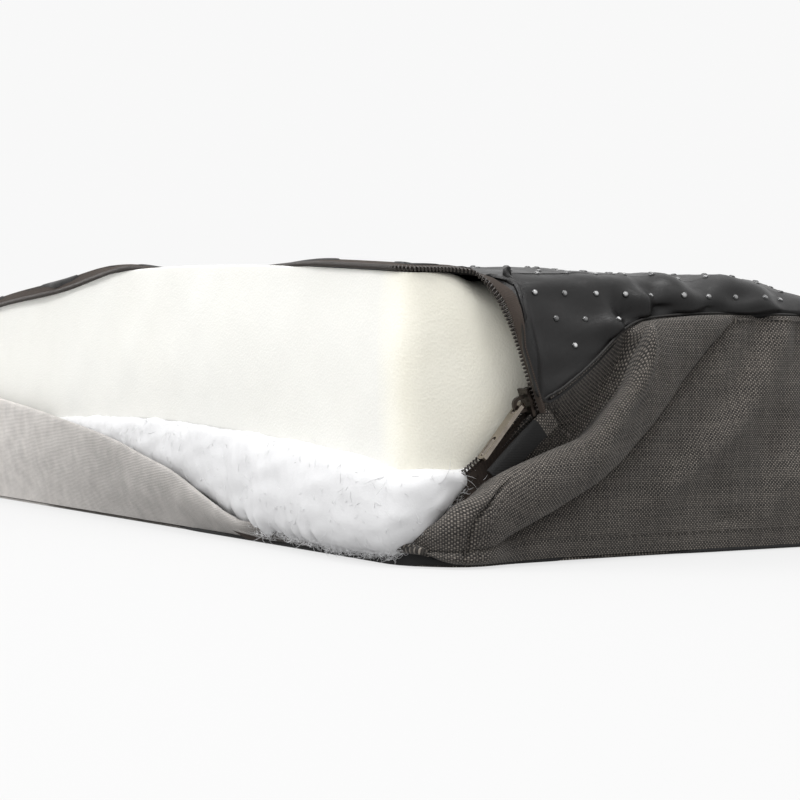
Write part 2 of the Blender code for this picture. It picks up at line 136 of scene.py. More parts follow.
def waves(dimensions, size, seed, count=14):
    """A smooth random function of points, about -1 to 1, with features of about a given size."""
    source = np.random.default_rng(seed)
    directions = unit(source.normal(size=(count, dimensions)))
    lengths = size * source.uniform(0.7, 1.9, count)
    phases = source.uniform(0.0, 2 * math.pi, count)

    def value(points):
        angle = np.asarray(points) @ (directions.T * 2 * math.pi / lengths) + phases
        return np.sin(angle).sum(-1) / math.sqrt(count) / 1.2

    return value


class Outline:
    """A rounded rectangle, walked anticlockwise from the middle of its +X -Y corner."""

    def __init__(self, low, high, radius):
        self.centre = np.array(((low[0] + high[0]) / 2, (low[1] + high[1]) / 2, 0.0))
        self.radius = radius
        self.reach_x = (high[0] - low[0]) / 2 - radius
        self.reach_y = (high[1] - low[1]) / 2 - radius
        self.arc = math.pi * radius / 2
        self.total = 4 * (self.reach_x + self.reach_y + self.arc)

    def place(self, distance):
        """Point on the outline and its outward direction."""
        left = (distance + self.arc / 2) % self.total
        corners = ((1, -1, -90), (1, 1, 0), (-1, 1, 90), (-1, -1, 180))
        runs = (2 * self.reach_y, 2 * self.reach_x) * 2
        for (side_x, side_y, start), run in zip(corners, runs):
            middle = self.centre + np.array((side_x * self.reach_x, side_y * self.reach_y, 0.0))
            angle = math.radians(start) + min(left, self.arc) / self.radius
            outward = np.array((math.cos(angle), math.sin(angle), 0.0))
            left -= self.arc
            if left <= 0.0:
                return middle + outward * self.radius, outward
            if left <= run:
                along = np.array((-outward[1], outward[0], 0.0))
                return middle + outward * self.radius + along * left, outward
            left -= run
        return self.place(0.0)

    def places(self, distances):
        found = [self.place(distance) for distance in distances]
        return np.array([point for point, _ in found]), np.array([outward for _, outward in found])


COVER = Outline((-LENGTH / 2, -WIDTH / 2), (LENGTH / 2, WIDTH / 2), CORNER_RADIUS)
FOAM_LOW = (-LENGTH / 2 + 10, -WIDTH / 2)
FOAM_HIGH = (LENGTH / 2 - 9, WIDTH / 2 - 8)
FOAM = Outline(FOAM_LOW, FOAM_HIGH, 6.0)
TURN = CORNER_RADIUS - COVER.arc / 2      # a side distance less the distance walked
RIGHT_REAR = COVER.arc + 2 * COVER.reach_y
LEFT_REAR = RIGHT_REAR + COVER.arc + 2 * COVER.reach_x
LEFT_FRONT = LEFT_REAR + RIGHT_REAR


def corner_sag(x, y):
    """The rear right-hand corner of the pad has sunk behind a diagonal line."""
    beyond = (np.asarray(x) - 225.0) * 0.645 + (np.asarray(y) + 26.0) * 0.764
    return 8.5 * smooth(beyond / 34.0)


def foam_top(x, y):
    """Height of the crowned foam's upper face."""
    along = 1.0 - np.abs(2.0 * x / LENGTH) ** 1.6
    across = 1.0 - (2.0 * y / WIDTH) ** 2
    return CORNER_HEIGHT + LENGTH_CROWN * along + WIDTH_CROWN * across - corner_sag(x, y)


def foam_bottom(x, y):
    """Height of the foam's lower face, a little lower at the open corner."""
    low_corner = 1.8 * smooth((x - 185.0) / 35.0) * smooth((-y - 100.0) / 30.0)
    return foam_top(x, y) + corner_sag(x, y) - FOAM_THICKNESS - low_corner


# Meshes

def piece(name, points, faces, material, replaces=(), uvs=None, thickness=0.0, offset=-1.0,
          flap=None):
    """Make one mesh from points in millimetres, and hide the model's parts that it replaces.

    It rides on the cover; or, when a stretch of X is given in flap, its transform is baked in and it is
    left unattached.
    """
    mesh = bpy.data.meshes.new(name)
    flat = (np.asarray(points, float) * MM).reshape(-1, 3)
    mesh.from_pydata(flat.tolist(), [], faces if isinstance(faces, list) else faces.tolist())
    if uvs is not None:
        layer = mesh.uv_layers.new(name="UVMap")
        index = np.zeros(len(mesh.loops), int)
        mesh.loops.foreach_get("vertex_index", index)
        layer.data.foreach_set("uv", np.asarray(uvs, float).reshape(-1, 2)[index].ravel())
    mesh.shade_smooth()
    mesh.materials.append(material)
    thing = bpy.data.objects.new(name, mesh)
    bpy.context.scene.collection.objects.link(thing)
    if thickness:
        thicken(thing, thickness, offset)
    if replaces:
        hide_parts(*replaces)
    if flap:
        hinge = next(joint for joint in frame["joints"] if joint["name"] == "front_band_hinge")
        start, end = ((x * MM, *hinge["pos_m"][1:]) for x in flap)
        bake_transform(thing)
        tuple(start)
        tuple(end)
    else:
        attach(thing, "cover")


def grid_faces(rows, columns, closed=False, flip=False):
    """Quads between the points of a grid, optionally closed round its columns."""
    i, j = np.meshgrid(np.arange(rows - 1), np.arange(columns if closed else columns - 1), indexing="ij")
    k = (j + 1) % columns
    quads = np.stack((i * columns + j, i * columns + k, (i + 1) * columns + k, (i + 1) * columns + j), -1)
    quads = quads.reshape(-1, 4)
    return quads[:, ::-1] if flip else quads


def grid_normals(points, closed=False):
    """Unit normals of a grid of points."""
    if closed:
        run = np.roll(points, -1, 1) - np.roll(points, 1, 1)
    else:
        run = np.gradient(points, axis=1)
    return unit(np.cross(run, np.gradient(points, axis=0)))


def lengths_up(points):
    """Distance along each column of a grid, from its first row."""
    steps = np.linalg.norm(np.diff(points, axis=0), axis=-1)
    return np.vstack((np.zeros(points.shape[1]), np.cumsum(steps, 0)))


def thicken(thing, thickness, offset):
    """Turn a sheet into a closed shell, with sharp edges where it was cut."""
    modifier = thing.modifiers.new("thickness", "SOLIDIFY")
    modifier.thickness = thickness * MM
    modifier.offset = offset
    graph = bpy.context.evaluated_depsgraph_get()
    solid = bpy.data.meshes.new_from_object(thing.evaluated_get(graph))
    thing.modifiers.clear()
    thing.data = solid
    solid.name = thing.name
    solid.set_sharp_from_angle(angle=math.radians(65))


def ring(base, outward, out, height):
    """One row of points along an outline: moved out from it by a distance, at a height."""
    spots = base + outward * np.broadcast_to(out, len(base))[:, None]
    if callable(height):
        height = height(spots[:, 0], spots[:, 1])
    return np.column_stack((spots[:, 0], spots[:, 1], np.broadcast_to(height, len(base))))


def fan(first, count, tip, flip=False):
    """Triangles from a closed ring of points to one more point."""
    here = first + np.arange(count)
    after = first + (np.arange(count) + 1) % count
    pair = (after, here) if flip else (here, after)
    return np.column_stack((*pair, np.full(count, tip))).tolist()


def cloth_uvs(along, up):
    """Texture coordinates of a grid: the distance along each row, and up each column."""
    return np.stack((np.broadcast_to(along, up.shape), up), -1)


def follow(wanted, places, values):
    """Vectors known at some places along a path, read off at the wanted ones."""
    return np.stack([np.interp(wanted, places, values[:, k]) for k in range(values.shape[1])], -1)


def spline_rows(control, per_span):
    """Points of a cubic B-spline up each column of a grid of control points."""
    padded = np.concatenate((control[:1], control[:1], control, control[-1:], control[-1:]))
    spans = len(padded) - 3
    rows = []
    for t in np.linspace(0.0, spans, spans * per_span + 1):
        i = min(int(t), spans - 1)
        u = t - i
        weights = ((1 - u) ** 3, 3 * u ** 3 - 6 * u ** 2 + 4, -3 * u ** 3 + 3 * u ** 2 + 3 * u + 1, u ** 3)
        rows.append(np.tensordot(np.array(weights) / 6, padded[i:i + 4], 1))
    return np.array(rows)


def tubes(paths, radii, sides, reference):
    """Vertices and faces of tubes along many paths with the same number of points."""
    paths = np.asarray(paths, float)
    count, length = paths.shape[:2]
    tangents = unit(np.gradient(paths, axis=1))
    first = unit(np.cross(tangents, reference))
    second = np.cross(tangents, first)
    angles = np.arange(sides) * 2 * math.pi / sides
    ring = (first[:, :, None] * np.cos(angles)[:, None] + second[:, :, None] * np.sin(angles)[:, None])
    vertices = paths[:, :, None] + ring * np.asarray(radii, float)[..., None, None]
    quads = grid_faces(length, sides, closed=True, flip=True)
    base = np.arange(count)[:, None, None] * length * sides
    return vertices.reshape(-1, 3), (quads[None] + base).reshape(-1, 4)


def resample(points, step):
    """Points of a polyline at an even spacing, with the distances and the old distances."""
    points = np.asarray(points, float)
    walked = np.concatenate(([0.0], np.cumsum(np.linalg.norm(np.diff(points, axis=0), axis=1))))
    even = np.linspace(0.0, walked[-1], max(int(walked[-1] / step), 2) + 1)
    return follow(even, walked, points), even, walked


# Materials

def linear(red, green, blue):
    """Scene colour for a display colour given from 0 to 255."""
    return tuple(((value / 255 + 0.055) / 1.055) ** 2.4 for value in (red, green, blue))


class Wire:
    """The output of a shader node, which adds, subtracts, multiplies and divides like a number."""

    def __init__(self, graph, socket):
        self.graph = graph
        self.socket = socket

    def __add__(self, other):
        return self.graph.math("ADD", self, other)

    def __sub__(self, other):
        return self.graph.math("SUBTRACT", self, other)

    def __rsub__(self, other):
        return self.graph.math("SUBTRACT", other, self)

    def __mul__(self, other):
        return self.graph.math("MULTIPLY", self, other)

    def __truediv__(self, other):
        return self.graph.math("DIVIDE", self, other)


class Graph:
    """The node tree of a material or of the world, with short calls for the nodes used here."""

    def __init__(self, owner):
        owner.use_nodes = True
        self.owner = owner
        self.tree = owner.node_tree

    def put(self, socket, value):
        if isinstance(value, Wire):
            self.tree.links.new(value.socket, socket)
        elif isinstance(value, tuple) and len(value) == 3 and socket.type == "RGBA":
            socket.default_value = (*value, 1.0)
        else:
            socket.default_value = value

    def node(self, kind, output, inputs=None, **settings):
        made = self.tree.nodes.new(kind)
        for key, value in settings.items():
            setattr(made, key, value)
        for key, value in (inputs or {}).items():
            self.put(made.inputs[key], value)
        return Wire(self, made.outputs[output])

    def math(self, operation, *values):
        return self.node("ShaderNodeMath", 0, dict(enumerate(values)), operation=operation)

    def mix(self, factor, first, second, blend_type="MIX"):
        inputs = {"Factor": factor, 6: first, 7: second}
        return self.node("ShaderNodeMix", 2, inputs, data_type="RGBA", blend_type=blend_type)

    def scale_colour(self, colour, factor):
        grey = self.node("ShaderNodeCombineColor", 0, {0: factor, 1: factor, 2: factor})
        return self.mix(1.0, colour, grey, "MULTIPLY")

    def remap(self, value, low, high, to_low=0.0, to_high=1.0):
        return self.node("ShaderNodeMapRange", 0, {0: value, 1: low, 2: high, 3: to_low, 4: to_high})

    def place(self):
        return self.node("ShaderNodeTexCoord", "Object")

    def uv(self):
        split = self.node("ShaderNodeSeparateXYZ", 0, {0: self.node("ShaderNodeUVMap", 0)})
        return split, Wire(self, split.socket.node.outputs[1])

    def noise(self, size, detail=2.0):
        """Noise from 0 to 1 with features of a size in millimetres."""
        inputs = {"Vector": self.place(), "Scale": 1000.0 / size, "Detail": detail}
        return self.node("ShaderNodeTexNoise", 0, inputs)

    def cell_noise(self, x, y, z=0.0):
        vector = self.node("ShaderNodeCombineXYZ", 0, {0: x, 1: y, 2: z})
        return self.node("ShaderNodeTexWhiteNoise", 0, {"Vector": vector})

    def bump(self, height, distance, strength=1.0, normal=None):
        inputs = {"Height": height, "Distance": distance * MM, "Strength": strength}
        if normal is not None:
            inputs["Normal"] = normal
        return self.node("ShaderNodeBump", 0, inputs)

    def done(self, colour, roughness, normal=None, **more):
        """Set the surface's inputs, and return the material."""
        values = {"Base Color": colour, "Roughness": roughness, **more}
        if normal is not None:
            values["Normal"] = normal
        surface = self.tree.nodes["Principled BSDF"]
        for key, value in values.items():
            self.put(surface.inputs[key], value)
        return self.owner


def material_graph(name):
    return Graph(bpy.data.materials.new(name))


def weave_height(g, x, y):
    """Height of a plain weave, and which yarn is on top, from coordinates counted in yarns."""
    column, row = g.math("FLOOR", x), g.math("FLOOR", y)
    over = g.math("FLOORED_MODULO", column + row, 2.0)
    across, along = (g.math("COSINE", (g.math("FRACT", place) - 0.5) * math.pi) for place in (x, y))
    warp = g.math("POWER", across, 0.6) * (along * 0.45 + 0.55)
    weft = g.math("POWER", along, 0.6) * (across * 0.45 + 0.55)
    return warp * over + weft * (1.0 - over), column, row, over


def canvas_material():
    """Heathered plain-weave canvas, with painted shade in the gaps between its yarns and painted light
    making it pale along the front.
    """
    g = material_graph("canvas_with_painted_front_light")
    u, v = g.uv()
    wobble = (g.noise(9.0) - 0.5) * 0.9
    top, column, row, over = weave_height(g, u / YARN + wobble, v / YARN + wobble)
    flecks = g.math("POWER", g.cell_noise(column, row, over * 0.5 + 0.25), 3.2)
    strands = g.cell_noise(column * over, row * (1.0 - over))
    tone = flecks * 0.16 + (strands * 0.14 + over * 0.34)
    cloth = g.mix(tone, linear(30, 27, 25), linear(168, 159, 149))
    washed = g.remap(g.noise(26.0, 3.0), 0.3, 0.7, 0.86, 1.14)
    # Painted shade: the gaps between the yarns are darkened and the yarn tops lightened.
    gap_shade = g.remap(top, 0.45, 0.92, 0.16, 1.15)
    cloth = g.scale_colour(cloth, washed * gap_shade)
    # Painted light: along the front band the canvas gets a pale colour, as strong light washes it out
    # there; its random mottle is made paler still towards the far left.
    pale = g.mix(g.remap(top, 0.45, 0.95), linear(164, 160, 156), linear(208, 204, 200))
    mottle_and_far_light = g.remap(g.noise(7.0, 6.0), 0.3, 0.7, 0.86, 1.1) * g.remap(u, -230.0, -390.0, 0.93, 1.5)
    lit_front_mask = g.remap(u, -88.0, -112.0) * g.remap(u, -430.0, -400.0)
    cloth = g.mix(lit_front_mask, cloth, g.scale_colour(pale, mottle_and_far_light))
    fuzz = g.bump(g.noise(0.35, 2.0), 0.05, 0.6)
    return g.done(cloth, 0.92, g.bump(top, 0.26, 0.9, fuzz), **{"Sheen Weight": 0.08})


def nylon_material():
    """Black coated nylon, crinkled and a little shiny."""
    g = material_graph("coated_nylon")
    u, v = g.uv()
    top = weave_height(g, u / NYLON_YARN, v / NYLON_YARN)[0]
    colour = g.mix(g.noise(30.0, 3.0), linear(22, 22, 22), linear(35, 34, 34))
    crinkle = g.bump(g.noise(5.0, 3.0), 0.35, 0.5)
    shine = g.remap(g.noise(8.0), 0.3, 0.7, 0.3, 0.44)
    return g.done(colour, shine, g.bump(top, 0.05, 0.45, crinkle), **{"Specular IOR Level": 0.3})


def foam_material():
    """Cream foam with fine cells; its long cut face is given a whiter, less creamy colour than its end
    face, as painted light for the strong light that washes that face out.
    """
    g = material_graph("cream_foam")
    cells = g.node("ShaderNodeTexVoronoi", "Distance", {"Vector": g.place(), "Scale": 1000.0 / FOAM_CELL})
    x = g.node("ShaderNodeSeparateXYZ", 0, {0: g.place()})
    turned = g.remap(x, 0.2000, 0.2150)
    # Painted light: the long cut face is whiter than the cream end face, as if washed out by strong light.
    lit_cut_face = g.mix(g.noise(45.0, 2.0), linear(235, 235, 231), linear(233, 232, 226))
    end_face = g.mix(g.noise(30.0, 2.0), linear(248, 246, 235), linear(244, 240, 223))
    colour = g.scale_colour(g.mix(turned, lit_cut_face, end_face), g.remap(cells, 0.0, 0.7, 0.972, 1.0))
    skin = g.bump(g.noise(4.0, 4.0), 0.22, 0.35)
    return g.done(colour, 0.9, g.bump(cells, 0.12, 0.5, skin))


def fibre_material(name, shade):
    """White polyester fibre."""
    g = material_graph(name)
    colour = g.scale_colour(g.mix(g.noise(7.0, 4.0), linear(212, 212, 213), linear(220, 220, 221)), shade)
    fluff = g.bump(g.noise(0.7, 5.0), 0.2, 0.3)
    return g.done(colour, 1.0, g.bump(g.noise(3.5, 4.0), 0.35, 0.25, fluff))


def tape_material(name, dark, light):
    """Woven tape with a herringbone rib."""
    g = material_graph(name)
    u, v = g.uv()
    leaning = u + g.math("ABSOLUTE", v - 1.7)
    rib = g.math("ABSOLUTE", g.math("FRACT", leaning / 0.7) - 0.5)
    colour = g.mix(rib * 2.0, dark, light)
    return g.done(colour, 0.85, g.bump(rib, 0.18, 0.8))


def coil_material():
    """Moulded nylon, smooth and dark."""
    g = material_graph("moulded_coil")
    colour = g.mix(g.noise(2.0), linear(42, 37, 34), linear(66, 60, 56))
    return g.done(colour, 0.34, g.bump(g.noise(0.5), 0.03, 0.4))


def thread_material(name, dark, light):
    """Twisted sewing thread."""
    g = material_graph(name)
    colour = g.mix(g.noise(1.5), dark, light)
    return g.done(colour, 0.7, g.bump(g.noise(0.25), 0.05, 0.8))


def grip_material():
    """Black rubber, with a painted white glint at the middle of each dot, of its own strength for each dot.
    """
    g = material_graph("grip_dot_rubber")
    from_middle, uneven_shine = g.uv()
    # Painted highlight: each dot's middle is coloured near white as a glint, scaled by the dot's own
    # strength.
    tip = g.remap(from_middle, 0.75, 0.4) * uneven_shine
    colour = g.mix(tip * 0.9, linear(24, 24, 25), linear(232, 232, 232))
    return g.done(colour, 0.12, g.bump(g.noise(0.6), 0.02, 0.3), **{"Coat Weight": 0.6})


def metal_material(name, dark, light, roughness):
    """Cast metal with uneven polish."""
    g = material_graph(name)
    colour = g.mix(g.noise(2.5, 4.0), dark, light)
    uneven_shine = g.remap(g.noise(1.1, 4.0), 0.3, 0.7, roughness * 0.7, roughness * 1.4)
    return g.done(colour, uneven_shine, g.bump(g.noise(0.7, 3.0), 0.02, 0.5), Metallic=1.0)


CANVAS = canvas_material()
NYLON = nylon_material()
FOAM_LOOK = foam_material()
FLEECE = fibre_material("batting_fleece", 0.97)
FIBRE = fibre_material("batting_fibre", 1.0)
TAPE = tape_material("zip_tape_weave", linear(34, 27, 23), linear(66, 55, 47))
# Near-black weave for the lower binding and the zip's end facing; there its black is in part painted shade.
SHADE_BLACK_WEAVE = tape_material("black_weave_binding_and_shade", linear(14, 14, 14), linear(30, 30, 30))
SEAM_THREAD = thread_material("black_seam_cord", linear(18, 17, 16), linear(38, 36, 34))
COIL = coil_material()
THREAD = thread_material("sewing_thread", linear(44, 41, 39), linear(92, 87, 82))
GRIP = grip_material()
BRONZE = metal_material("aged_bronze", linear(128, 118, 108), linear(196, 186, 174), 0.16)
GUNMETAL = metal_material("dark_slider_metal", linear(52, 46, 42), linear(84, 76, 70), 0.33)


# The side bands of the cover, as sections that change along them

# Heights and distances out along the right band, as (side, value). The names of the lines on the
# cloth: its foot on the ground, the crease under the roll, the ridge over it, and the seam.

RIDGE_TOP = curve((-60, 9), (-6, 9.5), (2, 10.5), (7, 13), (13, 19.5), (26, 28), (43, 34.5), (60, 40.5),
                  (65, 45.5), (70, 50.5), (75.5, 56), (78.5, 61), (80.5, 68), (82, 77), (90, 90))
CREASE = curve((-60, 5), (10, 5), (20, 6), (30, 8.8), (42, 13.8), (56, 20.8), (70, 28.7), (83, 38.5),
               (92, 46.6), (101, 56), (112, 67), (126, 78), (140, 84))
EDGE_TOP = curve((-60, 9.8), (-6, 10.3), (2, 11.4), (7, 13.9), (13, 20), (20, 24), (28, 30), (36, 39),
                 (44, 51.5))
SEAM_RISE = curve((44, 51.5), (54, 56.5), (69, 66.5), (80, 74), (88, 76.6), (120, 78.8), (200, 78.5),
                  (290, 76.5))
SEAM_OUT = curve((30, -3.0), (44, 3.5), (60, 2.0), (80, -3.0), (100, -5.0), (300, -5.0))
FOOT_OUT = curve((-40, 0), (-10, 0.5), (6, 2.5), (18, 5.0), (32, 2.5), (50, 0.6), (80, 0), (290, 0))
FOOT_RISE = curve((-40, 6), (-4, 7), (3.6, 5.7), (7, 3.4), (11, 1.8), (15.4, 1.0), (60, 1.4), (290, 1.5))
FOLD = curve((-40, 0), (-4, 0.05), (4, 0.3), (12, 0.75), (20, 1.0), (60, 0.95), (78, 0.7), (95, 0.5),
             (112, 0.4), (120, 0.22), (125, 0), (290, 0))
VALLEY = curve((-40, 0), (-5, 0.0), (6, 0.3), (14, 0.8), (24, 1.0), (58, 0.95), (74, 0.65), (80, 0.35),
               (84, 0), (290, 0))
NEAR_ZIP_RISE = curve((-40, 12.5), (0, 14), (10, 20), (18, 27), (26, 33), (36, 43), (41, 48))
NEAR_ZIP_IN = curve((-40, 5.0), (0, 6.0), (16, 7.0), (30, 6.6), (41, 4.0))
CORNER_SEAM = curve((0, 13.6), (4, 14.3), (10, 14.8), (15, 16.0), (20, 19.5), (24, 23.5), (30, 30.0))
SECOND_FOLD = curve((60, 6), (84, 16), (97, 24), (108, 32.5), (123, 43), (133, 54), (138, 61), (144, 71),
                    (150, 80))
THIRD_FOLD = curve((120, 10), (150, 26), (175, 44), (190, 62), (200, 80))

# The roll at the top of the fold: side, height and width
FINGER = np.array(((82.6, 75.5, 2.7), (82.4, 68, 2.7), (80.9, 61.5, 3.0), (77.6, 55.5, 3.3), (73, 50, 3.7),
                   (67, 43.5, 4.3), (60, 37, 4.8), (52, 32, 5.2)))


def band_top(side):
    return np.where(side < SEAM_START, EDGE_TOP(side), SEAM_RISE(side))


def right_section(side):
    """Control points of the right band's section, as rows of (out, height) from the hem up.

    The cloth goes up from the hem to the crease, out round the roll and over the ridge, into the
    valley behind it, and up to the seam or the free top edge.
    """
    top = band_top(side)
    crease = np.minimum(CREASE(side), top - 1.6)
    ridge = np.clip(RIDGE_TOP(side), crease + 1.0, top - 0.6)
    foot, foot_out = FOOT_RISE(side), FOOT_OUT(side)
    fold, valley = FOLD(side), VALLEY(side)
    free_out = -6.8 + 10.3 * smooth((side - 32.0) / 12.0)
    seam_out = np.where(side < SEAM_START, free_out, SEAM_OUT(side))
    flat = SEAM_OUT(side) * smooth((side - 60.0) / 60.0)
    dent = smooth((side - 22.0) / 13.0)
    full, dented = fold * (1.0 - dent), fold * dent
    lower, roll, upper = crease - foot, ridge - crease, top - ridge
    return [
        (foot_out, foot),
        (foot_out + 1.0 + 2.0 * full, foot + lower * 0.15),
        (foot_out * 0.8 + 1.6 + 3.4 * full, foot + lower * 0.45),
        (foot_out * 0.5 + 0.9 - dented + 5.2 * full + flat * 0.3, foot + lower * 0.8),
        (-1.8 * dented + 7.2 * full + flat * 0.5, crease + 0.2),
        (-2.0 * dented + 7.8 * full + flat * 0.5, crease + 1.2 * dented + 0.4),
        (5.5 * dented + 8.6 * full + flat * 0.6, crease - 0.6 * dented + 0.6),
        (9.0 * fold + flat * 0.6, crease + roll * 0.22),
        (11.0 * fold + flat * 0.7, crease + roll * 0.5),
        (10.2 * fold + flat * 0.7, crease + roll * 0.82),
        (6.5 * fold + flat * 0.8, ridge + 0.9),
        (0.5 * fold - 2.5 * valley + flat * 0.9, ridge + 0.2 - 1.5 * valley),
        (-6.0 * valley + flat, ridge - 5.0 * valley + 0.3),
        (-7.5 * valley + flat, ridge - 2.0 * valley + upper * 0.2),
        (seam_out * 0.5 - 4.5 * valley + flat * 0.5, ridge + upper * 0.6),
        (seam_out, top - upper * 0.08),
        (seam_out, top),
    ]


def band_grid(stations, section, per_span):
    """Points of a band from its section's control points, and its outward directions."""
    base, outward = COVER.places(stations)
    control = [ring(base, outward, out, height) for out, height in section]
    return spline_rows(np.array(control), per_span), outward


CLOTH_WAVES = waves(2, 34.0, 3)
CLOTH_RIPPLES = waves(2, 11.0, 4)


def ruffle(points, side, outward, amount):
    """Push the cloth in and out a little, less at its sewn edges."""
    height = points[..., 2]
    share = np.clip(height / np.maximum(np.max(height, axis=0), 1.0), 0, 1)
    free = np.sin(math.pi * np.clip(share, 0.02, 0.98)) ** 0.7
    where = np.stack((np.broadcast_to(side, height.shape), height * 1.3), -1)
    push = (CLOTH_WAVES(where) * 0.9 + CLOTH_RIPPLES(where) * 0.22) * free * amount
    return points + outward[None] * push[..., None]


def soft_ridge(side, height, line, width, rise, start, end):
    """A soft diagonal fold along a line of heights, fading at both ends."""
    slope = np.abs(np.gradient(line(side), side, axis=-1))
    distance = (height - line(side)) / np.sqrt(1.0 + slope ** 2)
    fade = smooth((side - start) / 20.0) * smooth((end - side) / 12.0)
    lump = np.exp(-(distance / width) ** 2) - 0.55 * np.exp(-((distance - 2.1 * width) / width) ** 2)
    return rise * lump * fade


def finger_roll(side, height):
    """The narrow rounded roll at the top of the fold, from the seam down along the ridge."""
    rise = np.zeros(height.shape)
    spots = np.stack((np.broadcast_to(side, height.shape), height), -1)
    for index, (first, second) in enumerate(zip(FINGER, FINGER[1:])):
        run = second[:2] - first[:2]
        t = np.clip(((spots - first[:2]) @ run) / (run @ run), 0.0, 1.0)
        distance = np.linalg.norm(spots - first[:2] - t[..., None] * run, axis=-1)
        width = (first[2] + (second[2] - first[2]) * t) * 1.45
        strength = 4.2 * (1.0 - (index + t) / (len(FINGER) - 1)) ** 0.7
        lump = np.clip(1.0 - (distance / width) ** 2, 0.0, 1.0) ** 1.5
        rise = np.maximum(rise, strength * lump)
    return rise


def soften(points, chosen, reach=7):
    """Average each chosen column of a grid with its neighbours."""
    weights = np.hanning(2 * reach + 3)[1:-1]
    weights = weights / weights.sum()
    padded = np.concatenate([points[:, :1]] * reach + [points] + [points[:, -1:]] * reach, axis=1)
    mean = sum(weight * padded[:, k:k + points.shape[1]] for k, weight in enumerate(weights))
    padded_choice = np.pad(np.asarray(chosen, float), reach, mode="edge")
    share = np.convolve(padded_choice, weights, mode="valid")
    return points + (mean - points) * share[None, :, None]


def band_piece(name, points, stations, nodes, flap=None):
    """Canvas cloth on a band's grid, with its weave following the cloth."""
    up = soften(lengths_up(points)[..., None], np.ones(points.shape[1]), 14)[..., 0]
    piece(name, points, grid_faces(*points.shape[:2]), CANVAS, nodes,
          cloth_uvs(stations + TURN, up), CANVAS_THICKNESS, flap=flap)


def marks(start, end, step):
    """Evenly spaced values from start to end, about a step apart."""
    return np.linspace(start, end, max(int(abs(end - start) / step), 2) + 1)


def right_band():
    """The right-hand band and its slack corner, rolled into a fold where the zip is open."""
    stations = np.concatenate((marks(-34.0, 155.0, 0.8), marks(157.0, RIGHT_REAR, 2.5)))
    side = stations + TURN
    points, outward = band_grid(stations, right_section(side), 7)
    points = soften(points, (side > 30.0) & (stations < 150.0))
    height = points[..., 2]
    everywhere = np.broadcast_to(side, height.shape)
    push = soft_ridge(side, height, SECOND_FOLD, 5.0, 2.6, 78.0, 156.0)
    push += soft_ridge(side, height, THIRD_FOLD, 8.0, 2.0, 120.0, 215.0)
    push += finger_roll(side, height) * smooth((band_top(side) - height) / 2.5)
    past_corner = CORNER_SEAM(height) - everywhere
    low = smooth((30.0 - height) / 6.0)
    push += 1.5 * smooth(past_corner / 1.1 + 0.5) * np.exp(-np.maximum(past_corner, 0.0) / 7.0) * low
    push -= 1.5 * np.exp(-(past_corner / 0.8) ** 2) * low
    for offset in (0.0, 2.6):
        from_end = (everywhere - 44.5 - offset) * 0.79 + (height - 52.5 - offset * 0.5) * 0.61
        near_top = smooth((height - 38.0) / 3.0) * (everywhere < 58.0)
        push -= 0.9 * np.exp(-(from_end / 0.6) ** 2) * near_top
    push -= 1.4 * np.exp(-((everywhere - 119) / 7) ** 2 - ((height - 11.5) / 2.0) ** 2)
    points += outward[None] * push[..., None]
    points = ruffle(points, side, outward, np.clip(side / 60, 0.25, 1.0))
    band_piece("right_canvas_band", points, stations, ("right_band", "corner_band"))
    return points, stations, outward


def seam_line(station):
    """Out and height of the seam between a band and the grip base, at one station."""
    sunk = 0.35 * corner_sag(*COVER.place(station)[0][:2]) if station > 200.0 - TURN else 0.0
    if station < COVER.total / 2:
        side = min(station + TURN, WIDTH)
        return float(SEAM_OUT(side)), float(SEAM_RISE(side) - sunk)
    far = LEFT_FRONT - station - COVER.arc / 2 + CORNER_RADIUS - ZIP_END
    sag = 1.0 - smooth(far / 35.0)
    return -SEAM_LEAN + 2.0 * sag, SEAM_HEIGHT - 0.5 - 5.0 * sag - sunk


def sewn_band(name, start, end, node, seed):
    """A band that is still sewn along both edges, puckered a little at its seams."""
    stations = marks(start, end, 2.5)
    seam = np.array([seam_line(float(station)) for station in stations])
    foot = 1.5
    bulges = ((0, 0), (0.1, 1.2), (0.3, 2.2), (0.55, 2.4), (0.8, 1.6), (0.94, 0.6), (1, 0))
    section = [(seam[:, 0] * part + bulge, foot + (seam[:, 1] - foot) * part) for part, bulge in bulges]
    points, outward = band_grid(stations, section, 4)
    pucker = waves(1, 9.0, seed)(stations[:, None])
    near_seam = np.exp(-(seam[:, 1] - points[..., 2]) / 9.0)
    points += outward[None] * (0.7 * pucker * near_seam)[..., None]
    points = ruffle(points, stations, outward, 1.3)
    band_piece(name, points, stations, (node,))
    return points, outward


FREE_EDGE = curve((0, 9), (60, 8.0), (100, 7.2), (114, 7.3), (122, 9.0), (134, 12.2), (172, 23),
                  (198, 27.5), (230, 33), (312, 42.5), (395, 50.5), (428, 55), (470, 61), (500, 62))
FREE_OUT = curve((0, 1.5), (60, 2.0), (100, 3.5), (130, 7.0), (180, 8.0), (400, 8.0), (440, 5.5),
                 (500, 4.0))


def front_section(walked):
    """The front band's section: up from the hem to its sagging free edge, which is turned in."""
    edge, out = FREE_EDGE(walked), FREE_OUT(walked)
    foot = 1.5 + 4.0 * smooth((45.0 - walked) / 25.0)
    rows = []
    for part in (0.0, 0.12, 0.3, 0.5, 0.7, 0.88, 1.0):
        bulge = 0.8 * math.sin(part * math.pi)
        rows.append((out * math.sin(part * math.pi / 2) + bulge, foot + (edge - foot) * part))
    return rows + [(out - 1.2, edge + 0.6), (out - 2.4, edge - 0.8), (out - 2.7, edge - 4.0)]


